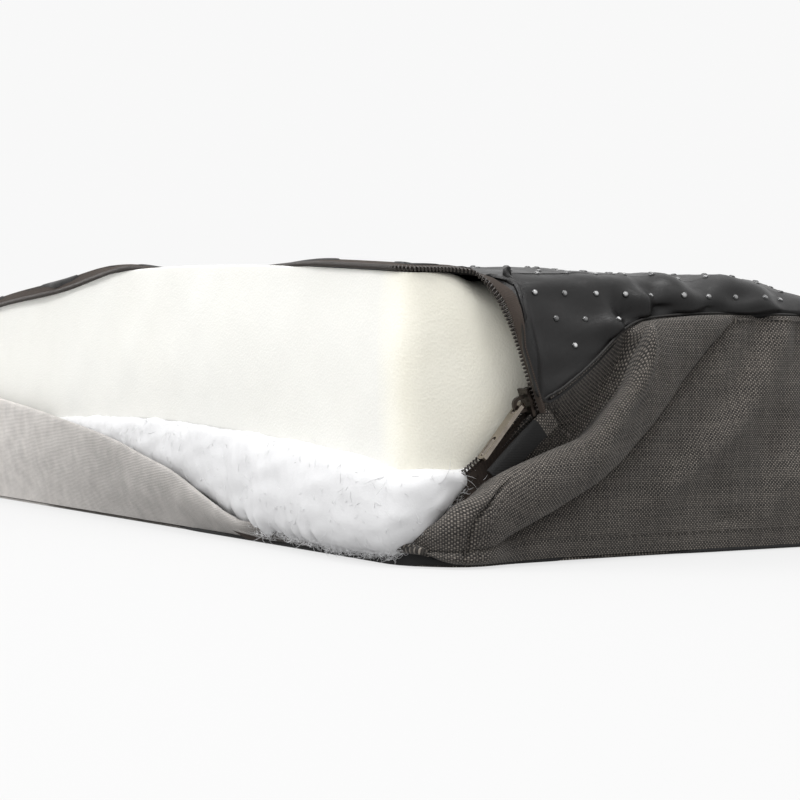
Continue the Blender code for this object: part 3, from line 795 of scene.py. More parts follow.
def front_half(name, start, end, nodes, flap):
    """Half of the front band."""
    stations = marks(start, end, 1.6)
    walked = -stations + TURN
    points, outward = band_grid(stations, front_section(walked), 5)
    points = ruffle(points, -walked, outward, 0.4 * smooth((walked - 90.0) / 60.0))
    band_piece(name, points, stations, nodes, flap)
    return points, outward


# Stretches of X passed as flap for the front band's halves and their zip halves
NEAR_BLEND = (122.0, 62.0)
FAR_BLEND = (-196.0, -130.0)
SPLIT_STATION = -FLAP_SPLIT + TURN


def base_zip_line():
    """Coil centres and tape directions of the grip base's half of the zip, from its near end."""
    line = []
    for run in (-4.0, 2.0, 7.0, 12.0, 17.0):
        line.append((PARKED + TRAVEL * run, ACROSS))
    start = PARKED + TRAVEL * 17.0
    rim, outward = FOAM.place(18.0)
    end = rim + outward * 0.5
    end = np.array((end[0], end[1], foam_top(end[0], end[1]) + 1.4))
    for part in (0.2, 0.4, 0.6, 0.8):
        rest = 1.0 - part
        bend = start * rest ** 3 + (start + TRAVEL * 12) * 3 * rest ** 2 * part
        bend = bend + (end + np.array((2.0, 9.0, 1.5))) * 3 * rest * part ** 2 + end * part ** 3
        turn = math.pi * float(smooth(part))
        line.append((bend, unit(np.array((math.cos(turn), math.sin(turn), 0.25 * part)))))
    front = -FOAM.arc - 2 * FOAM.reach_x
    for station in np.linspace(16.0, front - 10.0, 70):
        rim, outward = FOAM.place(station)
        walked = -station
        hang = float(smooth((walked - 218.0) / 80.0) * (1.0 - 0.45 * smooth((walked - 300.0) / 90.0)))
        set_back = float(smooth((walked - 48.0) / 84.0) * smooth((228.0 - walked) / 40.0))
        spot = rim + outward * (0.5 + 1.0 * hang - 6.5 * set_back)
        top = float(foam_top(spot[0], spot[1]))
        tilt = np.array((0.0, 0.0, 0.3 + 2.6 * hang - 0.25 * set_back)) - outward
        line.append((np.array((spot[0], spot[1], top + 1.1 - 4.0 * hang - 2.8 * set_back)), unit(tilt)))
    cover_front = -COVER.arc - 2 * COVER.reach_x
    for drop in (0.25, 0.5, 0.75, 1.0):
        station = cover_front - 10.0 - (ZIP_END - TURN - 10.0) * drop
        rim, outward = COVER.place(station)
        rim = rim + outward * (-7.0 + 6.0 * drop)
        turn = math.radians(90.0) * float(smooth(drop))
        tilt = -outward * math.cos(turn) + np.array((0.0, 0.0, 0.3 + math.sin(turn)))
        top = float(foam_top(rim[0], rim[1])) + 1.0 - 22.0 * float(smooth(drop))
        line.append((np.array((rim[0], rim[1], top)), unit(tilt)))
    return line


def zip_half(half, centres, sides, reach=(1.3, 5.2), flap=None):
    """One half of the zip: a tape, and a coil of real loops along its edge."""
    name = half.removeprefix("band_")
    path, distances, walked = resample(centres, 1.5)
    sides = follow(distances, walked, np.asarray(sides))
    along = unit(np.gradient(path, axis=0))
    sides = unit(sides - along * (sides * along).sum(-1, keepdims=True))
    across = np.linspace(reach[0], reach[1], 5)
    rows = np.array([path + sides * gap for gap in across])
    uvs = cloth_uvs(distances, np.broadcast_to(across[:, None], rows.shape[:2]))
    piece(f"zip_tape_{name}_cloth", rows, grid_faces(*rows.shape[:2]), TAPE,
          (f"zip_tape_{half}",), uvs, TAPE_THICKNESS, 0.0, flap)
    turns = marks(0.0, distances[-1], COIL_PITCH / 10)
    middle, across, axis = (follow(turns, distances, values) for values in (path, sides, along))
    lift = np.cross(axis, across)
    angle = turns * 2 * math.pi / COIL_PITCH
    loops = middle + across * (0.95 * np.cos(angle) + 0.3)[:, None] + lift * (0.6 * np.sin(angle))[:, None]
    vertices, faces = tubes(loops[None], np.full(len(loops), 0.3), 5, axis[None])
    piece(f"zip_coil_{name}_loops", vertices, faces, COIL, (f"zip_coil_{half}",), flap=flap)


def slack_zip(half, points, outward, flap):
    """The band's half of the zip, sewn inside its turned-in free edge."""
    edge = points[-14]
    down = np.array((0.0, 0.0, -1.0))
    zip_half(half, edge + down * 3.0 - outward * 1.6, unit(down - outward * 0.25), (1.2, 3.4), flap)


def near_zip():
    """The last of the band's zip, standing on edge against the foam inside the slack corner. Its tape is
    drawn wide, so that its dark weave also fills the shaded cavity there: tape and painted shade together.
    """
    stations = marks(-34.0, 36.0, 2.0)
    side = stations + TURN
    centres = ring(*COVER.places(stations), -NEAR_ZIP_IN(side), NEAR_ZIP_RISE(side))
    down = np.broadcast_to(np.array((0.0, 0.0, -1.0)), centres.shape)
    # The wide tape stands in partly for the shade in the cavity.
    zip_half("band_near", centres, down, (0.8, 10.0))


# The grip base

def cloth_top(x, y):
    """Height of the grip base over the foam: lifted at the open corner, sunk behind the front edge."""
    side = y + WIDTH / 2
    right = smooth((x - 110.0) / 90.0)
    clear = 0.6 + 1.5 * right * np.exp(-((side - 60.0) / 22.0) ** 2)
    behind_front = smooth((side + 6.0) / 14.0) * (1.0 - 0.6 * smooth((side - 85.0) / 120.0))
    hollow = 2.2 * np.exp(-((x - 150.0) / 60.0) ** 2 - ((side - 48.0) / 42.0) ** 2)
    rear_fall = 1.7 * smooth((x - 60.0) / 100.0) * smooth((side - 85.0) / 70.0)
    sunk = 3.4 * behind_front * smooth((150.0 - x) / 60.0) * smooth((x + 45.0) / 60.0)
    return foam_top(x, y) + clear - sunk - hollow - rear_fall


def over_edge(spot, drop):
    """A point over the foam, at a drop below the cloth's height there."""
    return np.array((spot[0], spot[1], float(cloth_top(spot[0], spot[1])) - drop))


def shoulder_rows(edge, inward, shoulder):
    """The last points of a column, where the cloth rolls over the foam's upper edge."""
    return [over_edge(edge + inward * inset, drop)
            for inset, drop in ((-0.5, shoulder), (SHOULDER_INSET, shoulder * 0.17), (9.0, 0.0))]


def seam_column(station):
    """Control points of the grip base from its seam on a band, up and over the foam's edge."""
    out, height = seam_line(station)
    base, outward = COVER.place(station)
    low = base + outward * out
    swell = base + outward * (out * 0.45 - 1.0)
    edge = base - outward * SEAM_LEAN
    top = over_edge(edge - outward * SHOULDER_INSET, 0.0)[2]
    shoulder = min(9.5, 0.42 * (top - height))
    column = [np.array((low[0], low[1], height - 1.0)), np.array((low[0], low[1], height + 0.6)),
              np.array((swell[0], swell[1], height + (top - height - shoulder) * 0.5))]
    return column + shoulder_rows(edge, -outward, shoulder)


def open_column(point, side):
    """Control points of the grip base from its zip tape inward.

    Along the front the cloth lies flat from the tape. Beside the slider it climbs to the edge
    first, and round the bend the two kinds of column are blended.
    """
    place = point + side * 5.0
    inner = np.array((min(max(place[0], -190.0), 190.0), min(place[1] + 20.0, 0.0), 0.0))
    level = np.array((place[0], place[1], 0.0))
    inward = unit(inner - level)
    flat = [place] + [over_edge(level + inward * inset, 0.0) for inset in (0.5, 1.2, 2.5, 5.0, 11.0)]
    settled = float(smooth((place[2] - CORNER_HEIGHT + 15.0) / 14.0))
    if settled == 1.0:
        return flat
    sign = 1.0 if place[0] > 0 else -1.0
    slant = min(max((place[2] - 50.0) / 31.0, 0.0), 1.0)
    lean = -WIDTH / 2 + 43.5 - 4.0 * slant
    edge = np.array((sign * (LENGTH / 2 - SEAM_LEAN), lean))
    top = over_edge((edge[0] - sign * SHOULDER_INSET, place[1]), 0.0)[2]
    shoulder = min(9.5, max(0.42 * (top - place[2]), 0.6))
    rise = min(max((top - place[2] - shoulder) * 0.5, 0.3), 14.0)
    steep = [place, place + np.array((-0.3 * sign, 0.4 + 0.8 * slant, min(0.5, rise / 2))),
             np.array((place[0] - 0.8 * sign, (place[1] + lean) / 2, place[2] + rise))]
    steep += shoulder_rows(edge, np.array((-sign, 0.0)), shoulder)
    return [low * settled + high * (1.0 - settled) for low, high in zip(flat, steep)]


def averaged(values, wrap, reach=16):
    """Values round a closed ring, each averaged with its neighbours; wrap is what one lap adds."""
    lapped = np.concatenate((values[-reach:] - wrap, values, values[:reach] + wrap))
    return np.convolve(lapped, np.full(2 * reach + 1, 1.0 / (2 * reach + 1)), mode="valid")


def filled_in(control, step):
    """A closed ring of columns with more between them, on a Catmull-Rom curve."""
    dense = []
    for before, first, second, after in zip(*(np.roll(control, -shift, axis=0) for shift in (-1, 0, 1, 2))):
        pieces = max(int(np.linalg.norm(second[0] - first[0]) / step), 1)
        bend = 2 * before - 5 * first + 4 * second - after
        twist = 3 * first - before - 3 * second + after
        for t in np.arange(pieces) / pieces:
            dense.append(0.5 * (2 * first + (second - before) * t + bend * t ** 2 + twist * t ** 3))
    return np.array(dense)


def base_grid(line):
    """A dense closed grid for the grip base, from its edge in to its middle.

    Inside the rim, each row is the rim drawn towards the middle. Its angles never go back, and it
    is evened out more and more, because a kink in the rim would turn into a slit there.
    """
    sewn = np.concatenate((marks(ZIP_END + 4 - TURN, 110.0, 5.0),
                           marks(116.0, LEFT_FRONT - ZIP_END - 2 + TURN, 9.0)))
    columns = [open_column(point, side) for point, side in line[1:]]
    columns += [seam_column(float(station)) for station in sewn[::-1]]
    outer = spline_rows(filled_in(np.array(columns), 2.2).transpose(1, 0, 2), 5)
    rim = outer[-1]
    turn = np.unwrap(np.arctan2(rim[:, 1], rim[:, 0]))
    ordered = (np.minimum.accumulate(turn) + np.maximum.accumulate(turn[::-1])[::-1]) / 2
    reach = np.linalg.norm(rim[:, :2], axis=1)
    calm_turn, calm_reach = averaged(ordered, -math.tau), averaged(reach, 0.0)
    inner = []
    for k, scale in enumerate(np.linspace(0.985, 0.03, 44)):
        calm = smooth(k / 9.0)
        angle = ordered + (calm_turn - ordered) * calm
        out = (reach + (calm_reach - reach) * calm) * scale
        x, y = np.cos(angle) * out, np.sin(angle) * out
        inner.append(np.column_stack((x, y, cloth_top(x, y))))
    return np.concatenate((outer, np.array(inner)))


# Gathers above the seam on the right: side, width, rise, and how far each leans as it goes up
GATHERS = ((73, 3.4, 2.4, 0.5), (80.5, 2.4, -2.6, 0.4), (88, 3.2, 2.8, 0.2), (95, 2.6, -1.8, 0.0),
           (106, 4.5, 1.6, 0.2), (117, 3.6, -1.4, 0.3), (131, 6.0, 1.2, 0.3), (150, 6.0, -1.2, 0.1),
           (164, 5.0, 1.4, 0.0))


def side_pucker(points):
    """Gathers that run up from the seam along the right-hand side and die out over the roll."""
    x, y, z = points[..., 0], points[..., 1], points[..., 2]
    side = y + WIDTH / 2
    right = smooth((x - 150.0) / 50.0)
    above = np.maximum(z - SEAM_RISE(np.clip(side, SEAM_START, WIDTH)), 0)
    near_seam = np.exp(-above / 10.0) * smooth(above / 2.2) * smooth((x - 196.0) / 18.0)
    gathers = sum(rise * np.exp(-((side + lean * (z - SEAM_HEIGHT) - place) / width) ** 2)
                  for place, width, rise, lean in GATHERS)
    loose = waves(2, 17.0, 21)(np.stack((side, z * 1.6), -1)) * 1.05 * smooth((side - 35.0) / 20.0)
    over_roll = np.exp(-np.maximum(93.0 - z, 0.0) / 20.0)
    return near_seam * (1.4 * gathers + loose) + right * loose * 0.6 * over_roll


def grip_base(line):
    """The black cloth over the top: its vertices, its faces and the mesh."""
    points = base_grid(line)
    normals = -grid_normals(points, closed=True)
    share = np.linspace(0.0, 1.0, len(points))[:, None]
    near_edge = np.exp(-share / 0.12)
    plan = points[..., :2]
    swell = (waves(2, 62.0, 8)(plan) * 1.1 + waves(2, 24.0, 9)(plan) * 0.45) * smooth(share / 0.12)
    sewn = smooth((points[..., 1] + WIDTH / 2 - 30.0) / 20.0)
    left_puckers = waves(1, 8.0, 31)((points[..., 1:2] - points[..., :1])) * near_edge * 0.8 * sewn
    push = swell + side_pucker(points) * smooth(share / 0.05) + left_puckers * (points[..., 0] < 150)
    points = points + normals * push[..., None]
    rows, columns = points.shape[:2]
    around = np.cumsum(np.linalg.norm(np.diff(points[0], axis=0, prepend=points[0][:1]), axis=1))
    uvs = np.concatenate((cloth_uvs(around, lengths_up(points)).reshape(-1, 2), [[0.0, 0.0]]))
    vertices = np.concatenate((points.reshape(-1, 3), points[-1].mean(0)[None]))
    faces = grid_faces(rows, columns, closed=True, flip=True).tolist()
    faces += fan((rows - 1) * columns, columns, rows * columns, flip=True)
    piece("grip_base_nylon", vertices, faces, NYLON, ("base_panel",), uvs, NYLON_THICKNESS)
    return vertices, faces


DOT_PITCH = 11.4
DOT_ROW_GAP = 9.6
DOT_SIDES = 10
DOT_PROFILE = ((1.15, -0.2), (1.12, 0.12), (0.88, 0.38), (0.46, 0.54))    # radius, and rise from the cloth
DOT_TIP = 0.6
FLAT_X = LENGTH / 2 - 14.0    # the flat of the top ends here, and the cloth rolls over
FLAT_Y = WIDTH / 2 - 14.0


def dot_ray(x, y):
    """Start and direction of the ray that finds the cloth at a place in the pattern, if it has a dot.

    Past the flat of the top the pattern goes on down the roll, so the ray turns with it.
    """
    past_x, past_y = abs(x) - FLAT_X, abs(y) - FLAT_Y
    past_corner = past_x > 0 and past_y > 0
    if past_corner or past_x > (36.0 if x > 0 else 20.0) or past_y > 18.0 or y < -WIDTH / 2 + 6.0:
        return None
    if past_x > 0:
        sign = math.copysign(1, x)
        turn = min(past_x / 11.5, 1.0) * math.radians(86.0)
        ray = Vector((-math.sin(turn) * sign, 0, -math.cos(turn)))
        return Vector((sign * (FLAT_X - 2), y, 84.0 - max(past_x - 12.0, 0.0) * 0.9)) - ray * 40.0, ray
    if past_y > 0 and y > 0:
        turn = past_y / 17.0 * math.radians(80.0)
        ray = Vector((0, -math.sin(turn), -math.cos(turn)))
        return Vector((x, FLAT_Y - 2, 84.0)) - ray * 40.0, ray
    return Vector((x, y, 130.0)), Vector((0, 0, -1))


def has_dot(spot):
    """Whether the pattern reaches a point of the cloth: it stops short of the seam at the right."""
    side = spot.y + WIDTH / 2
    near_seam = spot.z < SEAM_RISE(side) + 4.0 or side < SEAM_START or (spot.z < 71.0 and side < 54.0)
    return spot.z >= 62.0 and not (spot.x > 190 and near_seam)


def grip_dots(cloth, cloth_faces):
    """Moulded dots in a staggered pattern, each standing on the cloth."""
    tree = BVHTree.FromPolygons([tuple(v) for v in cloth], [tuple(f) for f in cloth_faces])
    dots = []
    for row, step in itertools.product(range(-25, 28), range(-16, 17)):
        found = dot_ray(row * DOT_ROW_GAP + 2.0, step * DOT_PITCH + (4.2 if row % 2 else -1.5))
        if found is None:
            continue
        spot, normal, _, _ = tree.ray_cast(*found, 60.0)
        if spot is not None and has_dot(spot):
            dots.append((spot, -normal if normal.dot(found[1]) > 0 else normal))
    vertices, faces, uvs = [], [], []
    last_ring = (len(DOT_PROFILE) - 1) * DOT_SIDES
    # Each dot's uv holds its distance from the middle and the strength of its painted glint.
    for (spot, normal), uneven_shine in zip(dots, rng.uniform(0.1, 1.0, len(dots))):
        first = normal.orthogonal().normalized()
        second = normal.cross(first)
        base = len(vertices)
        for radius, rise in DOT_PROFILE:
            for angle in (2 * math.pi * k / DOT_SIDES for k in range(DOT_SIDES)):
                out = first * math.cos(angle) + second * math.sin(angle)
                vertices.append(tuple(spot + out * radius + normal * rise))
                uvs.append((radius / DOT_PROFILE[0][0], uneven_shine))
        vertices.append(tuple(spot + normal * DOT_TIP))
        uvs.append((0.0, uneven_shine))
        faces += (grid_faces(len(DOT_PROFILE), DOT_SIDES, closed=True) + base).tolist()
        faces += fan(base + last_ring, DOT_SIDES, len(vertices) - 1)
    piece("grip_dots", vertices, faces, GRIP, uvs=uvs)


# Foam and batting

def foam_roof(x, y, covered=None):
    """The foam's top, pressed down under the grip base so that it stays below the cloth."""
    if covered is None:
        covered = smooth((y + WIDTH / 2 - 18.0) / 14.0)
    return foam_top(x, y) + np.minimum(cloth_top(x, y) - 2.8 - foam_top(x, y), 0.0) * covered


def foam():
    """The foam slab: a soft crowned block with a little waviness in its cut faces."""
    stations = np.linspace(0.0, FOAM.total, 560, endpoint=False)
    base, outward = FOAM.places(stations)
    squeeze = smooth((stations - 4.0) / 30.0) * (stations < FOAM.total / 2)
    rounding = 0.7 + 11.3 * squeeze

    def row(out, height, scale=1.0):
        return ring(FOAM.centre + (base - FOAM.centre) * scale, outward * scale, out, height)

    grid = [row(-14.0, foam_bottom, scale) for scale in (0.1, 0.4, 0.7, 0.9)]
    for angle in np.linspace(0.0, math.pi / 2, 6):
        lift = 1.2 * (1 - math.cos(angle))
        grid.append(row(-1.2 + 1.2 * math.sin(angle), lambda x, y: foam_bottom(x, y) + lift))
    lower = grid[-1][:, 2]
    upper = foam_roof(base[:, 0], base[:, 1]) - rounding
    for part in np.linspace(0.05, 0.95, 22):
        bulge = 0.9 * math.sin(math.pi * part) * (1.0 + 1.2 * squeeze)
        grid.append(row(bulge, lower + (upper - lower) * part))
    for angle in np.linspace(0.0, math.pi / 2, 8):
        drop = rounding * (1 - math.sin(angle))
        grid.append(row(-rounding * (1 - math.cos(angle)), lambda x, y: foam_roof(x, y) - drop))
    for inset, below in ((3.0, 1.0), (6.0, 2.0), (13.0, 4.0)):
        out = -np.maximum(inset, rounding + inset * 0.3)
        grid.append(row(out, lambda x, y: foam_roof(x, y, 1.0) - below))
    grid += [row(-17.0, lambda x, y: foam_roof(x, y, 1.0) - 7.0, scale) for scale in (0.9, 0.7, 0.4, 0.1)]
    points = np.array(grid)
    wavy = waves(3, 46.0, 41)(points) * 0.55 + waves(3, 15.0, 42)(points) * 0.16
    points = points - outward[None] * (0.5 - wavy)[..., None] * 0.8
    rows, columns = points.shape[:2]
    faces = grid_faces(rows, columns, closed=True).tolist()
    faces += fan(0, columns, rows * columns, flip=True)
    faces += fan((rows - 1) * columns, columns, rows * columns + 1)
    vertices = np.concatenate((points.reshape(-1, 3), points[:1].mean(1), points[-1:].mean(1)))
    piece("foam_block", vertices, faces, FOAM_LOOK, ("foam_core",))


SPILL_OUT = curve((-440, -6), (-330, -4), (-300, 3), (-150, 4.0), (-122, 4.6), (-108, 7.0), (-90, 8.0),
                  (-60, 8.5), (-20, 9.0), (-4, 8.0), (3, 6.0), (8, 2.5), (14, -2.5), (21, -5.5), (27, -11),
                  (34, -14))
SPILL_FLOOR = curve((-440, 46), (-330, 40), (-312, 38.5), (-230, 27), (-198, 21), (-172, 18.0),
                    (-150, 12.5), (-134, 9.0), (-122, 5.5), (-107, 3.6), (-92, 2.4), (-20, 2.0),
                    (-6, 2.6), (4, 8), (13, 18), (24, 24), (34, 27))


# The batting's section, from inside the pad under the foam, round its face, and back on the floor:
# a share of the way out, and a share of the way up
BATTING_SECTION = ((0.0, 1.0), (0.62, 1.0), (0.88, 0.9), (0.98, 0.64), (1.0, 0.3), (0.88, 0.07),
                   (0.55, 0.0), (0.0, -0.02))


def batting():
    """Loose polyester loft: a lumpy sheet that has spilled out along the front and over the corner."""
    stations = np.linspace(-436.0, 30.0, 420)
    base, outward = COVER.places(stations)
    side = stations + TURN
    spill = SPILL_OUT(side)
    torn = np.clip(waves(1, 12.0, 55)(side[:, None]), 0.0, 1.0)
    torn = torn * smooth((side + 135.0) / 15.0) * smooth((-35.0 - side) / 20.0)
    floor = SPILL_FLOOR(side) + 3.2 * torn
    ceiling = foam_bottom(base[:, 0], base[:, 1]) + 2.0
    inside = -14.0
    control = [ring(base, outward, -40.0, ceiling)]
    for share, lift in BATTING_SECTION:
        out = inside + (spill - inside) * share
        control.append(ring(base, outward, out, floor + (ceiling - floor) * lift))
    points = spline_rows(np.array(control), 7)
    normals = -grid_normals(points)
    lumps = waves(3, 26.0, 51)(points) * 0.55 + waves(3, 7.0, 52)(points) * 0.22
    lumps += waves(3, 2.6, 53)(points) * 0.08
    edge = smooth((points[..., 2] - 1.6) / 2.5)
    shown = np.clip((np.linspace(0, 1, len(points))[:, None] - 0.2) * 5, 0, 1)
    points = points + normals * (lumps * edge * shown)[..., None]
    points[..., 2] = np.maximum(points[..., 2], 1.5)
    faces = grid_faces(*points.shape[:2], flip=True)
    piece("batting_loft", points, faces, FLEECE, ("batting_sheet",), thickness=1.6)
    return points, normals


def batting_fibres(points, normals):
    """Loose fibres on the batting, most of them along its ragged lower edge."""
    rows, columns = points.shape[:2]
    count = FIBRES
    row = np.clip(rng.normal(0.56, 0.2, count), 0.2, 0.93) * (rows - 1)
    low = rng.random(count) < 0.94
    row = np.where(low, rng.uniform(0.72, 0.92, count) * (rows - 1), row)
    column = rng.uniform(0.0, 1.0, count) ** 0.65 * (columns - 2)
    i, j = row.astype(int), column.astype(int)
    start = points[i, j] + (points[i, j + 1] - points[i, j]) * (column - j)[:, None]
    out = normals[i, j]
    along = unit(rng.normal(size=(count, 3)))
    along = unit(along - out * (along * out).sum(-1, keepdims=True) * 0.8)
    bend = unit(rng.normal(size=(count, 3)))
    length = (rng.gamma(3.0, 0.55, count) + 0.8)[:, None, None]
    t = np.linspace(0.0, 1.0, 5)[None, :, None]
    height = (0.1 + rng.random(count) * np.where(low, 1.5, 0.45))[:, None, None]
    arch = out[:, None] * height * np.sin(t * math.pi * 0.85)
    paths = start[:, None] + along[:, None] * t * length + arch
    paths = paths + bend[:, None] * (t * t) * (length * 0.35)
    paths[..., 2] = np.maximum(paths[..., 2], 0.35)
    radii = np.broadcast_to((0.04, 0.075, 0.08, 0.06, 0.02), (count, 5))
    vertices, faces = tubes(paths, radii, 3, unit(rng.normal(size=(count, 1, 3))))
    piece("batting_fibres", vertices, faces, FIBRE)


# Bottom, binding, stitching

def kneeling_face():
    """The canvas face on the ground, following the bands' lower edges."""
    stations = np.linspace(0.0, COVER.total, 360, endpoint=False)
    base, outward = COVER.places(stations)
    side = np.where(stations < COVER.total / 2, stations + TURN, stations - COVER.total + TURN)
    reach = FOOT_OUT(side) * (np.abs(side) < 100) - 0.9
    section = ((1.0, 0.0, 1.2), (1.0, 0.4, 0.35), (1.0, -1.5, 0.15), (0.85, -3.0, 0.1), (0.5, -3.0, 0.1),
               (0.1, -3.0, 0.1))
    points = np.array([ring(base * scale, outward * scale, reach + out, height)
                       for scale, out, height in section])
    faces = grid_faces(*points.shape[:2], closed=True, flip=True).tolist()
    last = (len(section) - 1) * len(stations)
    faces.append([last + j for j in range(len(stations))][::-1])
    piece("kneeling_face", points, faces, CANVAS, ("knee_panel",), points[..., :2], 1.0)


def binding():
    """Black binding under the bands' lower edge. Where it hangs below the canvas at the open corner, its
    black stands in for the shadow in the gaps under the lifted canvas, so it is painted shadow as well as
    binding.
    """
    near = np.linspace(-60.0, 60.0, 120, endpoint=False)
    stations = np.concatenate((near, np.linspace(60.0, COVER.total - 60.0, 300, endpoint=False)))
    base, outward = COVER.places(stations)
    side = stations + TURN
    close = np.abs(side) < 65
    out = FOOT_OUT(np.clip(side, -64, 64)) * close
    top = np.where(close, FOOT_RISE(np.clip(side, -40, WIDTH)) + 0.4, 1.9)
    tucked = np.where(side > COVER.total / 2, smooth((COVER.total - side - 150.0) / 40.0),
                      smooth((side - 48.0) / 10.0) * smooth((112.0 - side) / 30.0))
    rows = []
    for share, gap in ((0.0, -3.5), (0.0, 0.1), (0.35, 0.55), (0.7, 0.3), (1.0, -0.6), (1.0, -4.0)):
        moved = out * (0.55 + 0.45 * share) + gap - 2.2 * tucked
        rows.append(ring(base, outward, moved, 0.3 + (top - 0.3) * share))
    points = np.array(rows)
    piece("lower_binding", points, grid_faces(*points.shape[:2], closed=True), SHADE_BLACK_WEAVE,
          ("seam_binding",), cloth_uvs(stations, lengths_up(points)), 0.3)


def stitches(name, path, lift, pitch=STITCH_PITCH):
    """A row of stitches along a path on the cloth, each dipping into it at its ends."""
    spots, distances, _ = resample(np.hstack((path, lift)), 0.4)
    count = int(distances[-1] / pitch)
    t = np.linspace(0.0, 1.0, 5)
    place = follow((np.arange(count)[:, None] + t[None] * STITCH_SHARE) * pitch, distances, spots)
    rise = np.sin(t * math.pi) * 0.42 - 0.16
    paths = place[..., :3] + unit(place[..., 3:]) * rise[None, :, None]
    radii = STITCH_RADIUS * np.array((0.45, 0.95, 1.0, 0.95, 0.45))
    vertices, faces = tubes(paths, np.broadcast_to(radii, (count, 5)), 6, unit(place[..., 3:]))
    piece(name, vertices, faces, THREAD)


def level_path(points, height, first=0):
    """Where a band's grid first reaches a height above its lower edge, and the normals there."""
    path, lifts = [], []
    normals = grid_normals(points)
    for j in range(first, points.shape[1]):
        column = points[:, j]
        rise = column[:, 2] - column[0, 2]
        i = int(np.argmax(rise > height))
        below = max(i - 1, 0)
        t = (height - rise[below]) / max(rise[i] - rise[below], 1e-6)
        path.append(column[below] + (column[i] - column[below]) * np.clip(t, 0, 1))
        lifts.append(normals[i, j])
    return np.array(path), np.array(lifts)


def climbing_path(points, stations, keys):
    """A path on a band's grid through (side, height) keys, going up its visible face."""
    normals = grid_normals(points)
    path, lifts = [], []
    for side, height in keys:
        j = int(np.argmin(np.abs(stations + TURN - side)))
        column = points[:, j]
        reached = np.abs(column[:, 2] - height) - column[:, 0] * 0.15
        i = int(np.argmin(reached))
        path.append(column[i])
        lifts.append(normals[i, j])
    return np.array(path), np.array(lifts)


def seam_cord(name, points, outward):
    """The dark turned edge of the grip base, sewn down over a band's top edge."""
    up = np.array((0.0, 0.0, 1.0))
    path, _, _ = resample(points[-1] + outward * 0.5 + up * 0.5, 1.4)
    vertices, faces = tubes(path[None], np.full(len(path), 0.42), 8, up)
    piece(name, vertices, faces, SEAM_THREAD)


def polish_metal():
    """Metal looks and small bevels for the CAD slider, pull and stops."""
    looks = {"slider_body": GUNMETAL, "slider_cap": GUNMETAL, "pull_tab": BRONZE, "zip_top_stop": BRONZE,
             "zip_bottom_stop": BRONZE}
    for name, material in looks.items():
        node = frame["nodes"][name]
        node.data.materials.clear()
        node.data.materials.append(material)
        bevel = node.modifiers.new("edges", "BEVEL")
        bevel.width = 0.16 * MM
        bevel.segments = 2
        bevel.limit_method = "ANGLE"
        bevel.angle_limit = math.radians(35)


def facing_strip():
    """The zip's end facing beside the pull: a strip painted black for the shade of the cavity it lies in,
    with canvas folded over it.
    """
    top = PARKED + np.array((1.9, 3.0, -2.4))
    run = unit(np.array((-0.16, -0.68, -0.70)))
    wide = unit(np.array((0.0, 0.67, -0.74)))
    length = 27.0
    lengths = np.linspace(0.0, length, 28)
    sag = 0.5 * np.sin(lengths / length * math.pi)
    rows = []
    section = ((0.0, -0.8), (0.2, 0.2), (1.5, 0.6), (3.5, 0.5), (5.5, 0.3), (6.9, 0.0), (7.1, -0.9))
    for across, lift in section:
        spot = top + wide * across + run * lengths[:, None]
        spot[:, 0] += lift - sag * 1.5
        rows.append(spot)
    points = np.array(rows)
    uvs = cloth_uvs(lengths, lengths_up(points))
    # Painted shade: the facing gets the near-black weave because it lies in shadow.
    for name, part, material, nodes in (("zip_end_facing", slice(5, None), SHADE_BLACK_WEAVE, ("zip_end_tab",)),
                                        ("zip_end_fold", slice(0, 6), CANVAS, ())):
        shape = points[:, part].shape[:2]
        piece(name, points[:, part], grid_faces(*shape), material, nodes, uvs[:, part], 0.8)

STUDIO_GREY = (0.94, 0.94, 0.94)
FLOOR_REACH = 12.0
AIM = (0.1, -0.08, 0.04)
LAMPS = (("key", (-0.9, -1.5, 1.5), 0.9, 16.0), ("top", (0.5, -0.1, 1.4), 0.5, 9.0),
         ("side", (0.45, -1.1, 1.2), 0.4, 8.0))    # name, place in metres, size, power


def pale_floor():
    """A matt floor that glows a little, and more to the camera, so that it meets the background."""
    corners = [(x * FLOOR_REACH, y * FLOOR_REACH, 0.0) for x, y in ((-1, -1), (1, -1), (1, 1), (-1, 1))]
    mesh = bpy.data.meshes.new("floor")
    mesh.from_pydata(corners, [], [(0, 1, 2, 3)])
    floor = bpy.data.objects.new("floor", mesh)
    bpy.context.scene.collection.objects.link(floor)
    g = material_graph("pale_floor")
    mesh.materials.append(g.done((0.56, 0.56, 0.56), 0.9, **{"Specular IOR Level": 0.1}))
    seen = g.node("ShaderNodeLightPath", "Is Camera Ray")
    strength = g.remap(seen, 0.0, 1.0, 0.55)
    glow = g.node("ShaderNodeEmission", 0, {"Color": STUDIO_GREY, "Strength": strength})
    matt = Wire(g, g.tree.nodes["Principled BSDF"].outputs[0])
    both = g.node("ShaderNodeMixShader", 0, {"Fac": 0.25, 1: glow, 2: matt})
    g.put(g.tree.nodes["Material Output"].inputs[0], both)


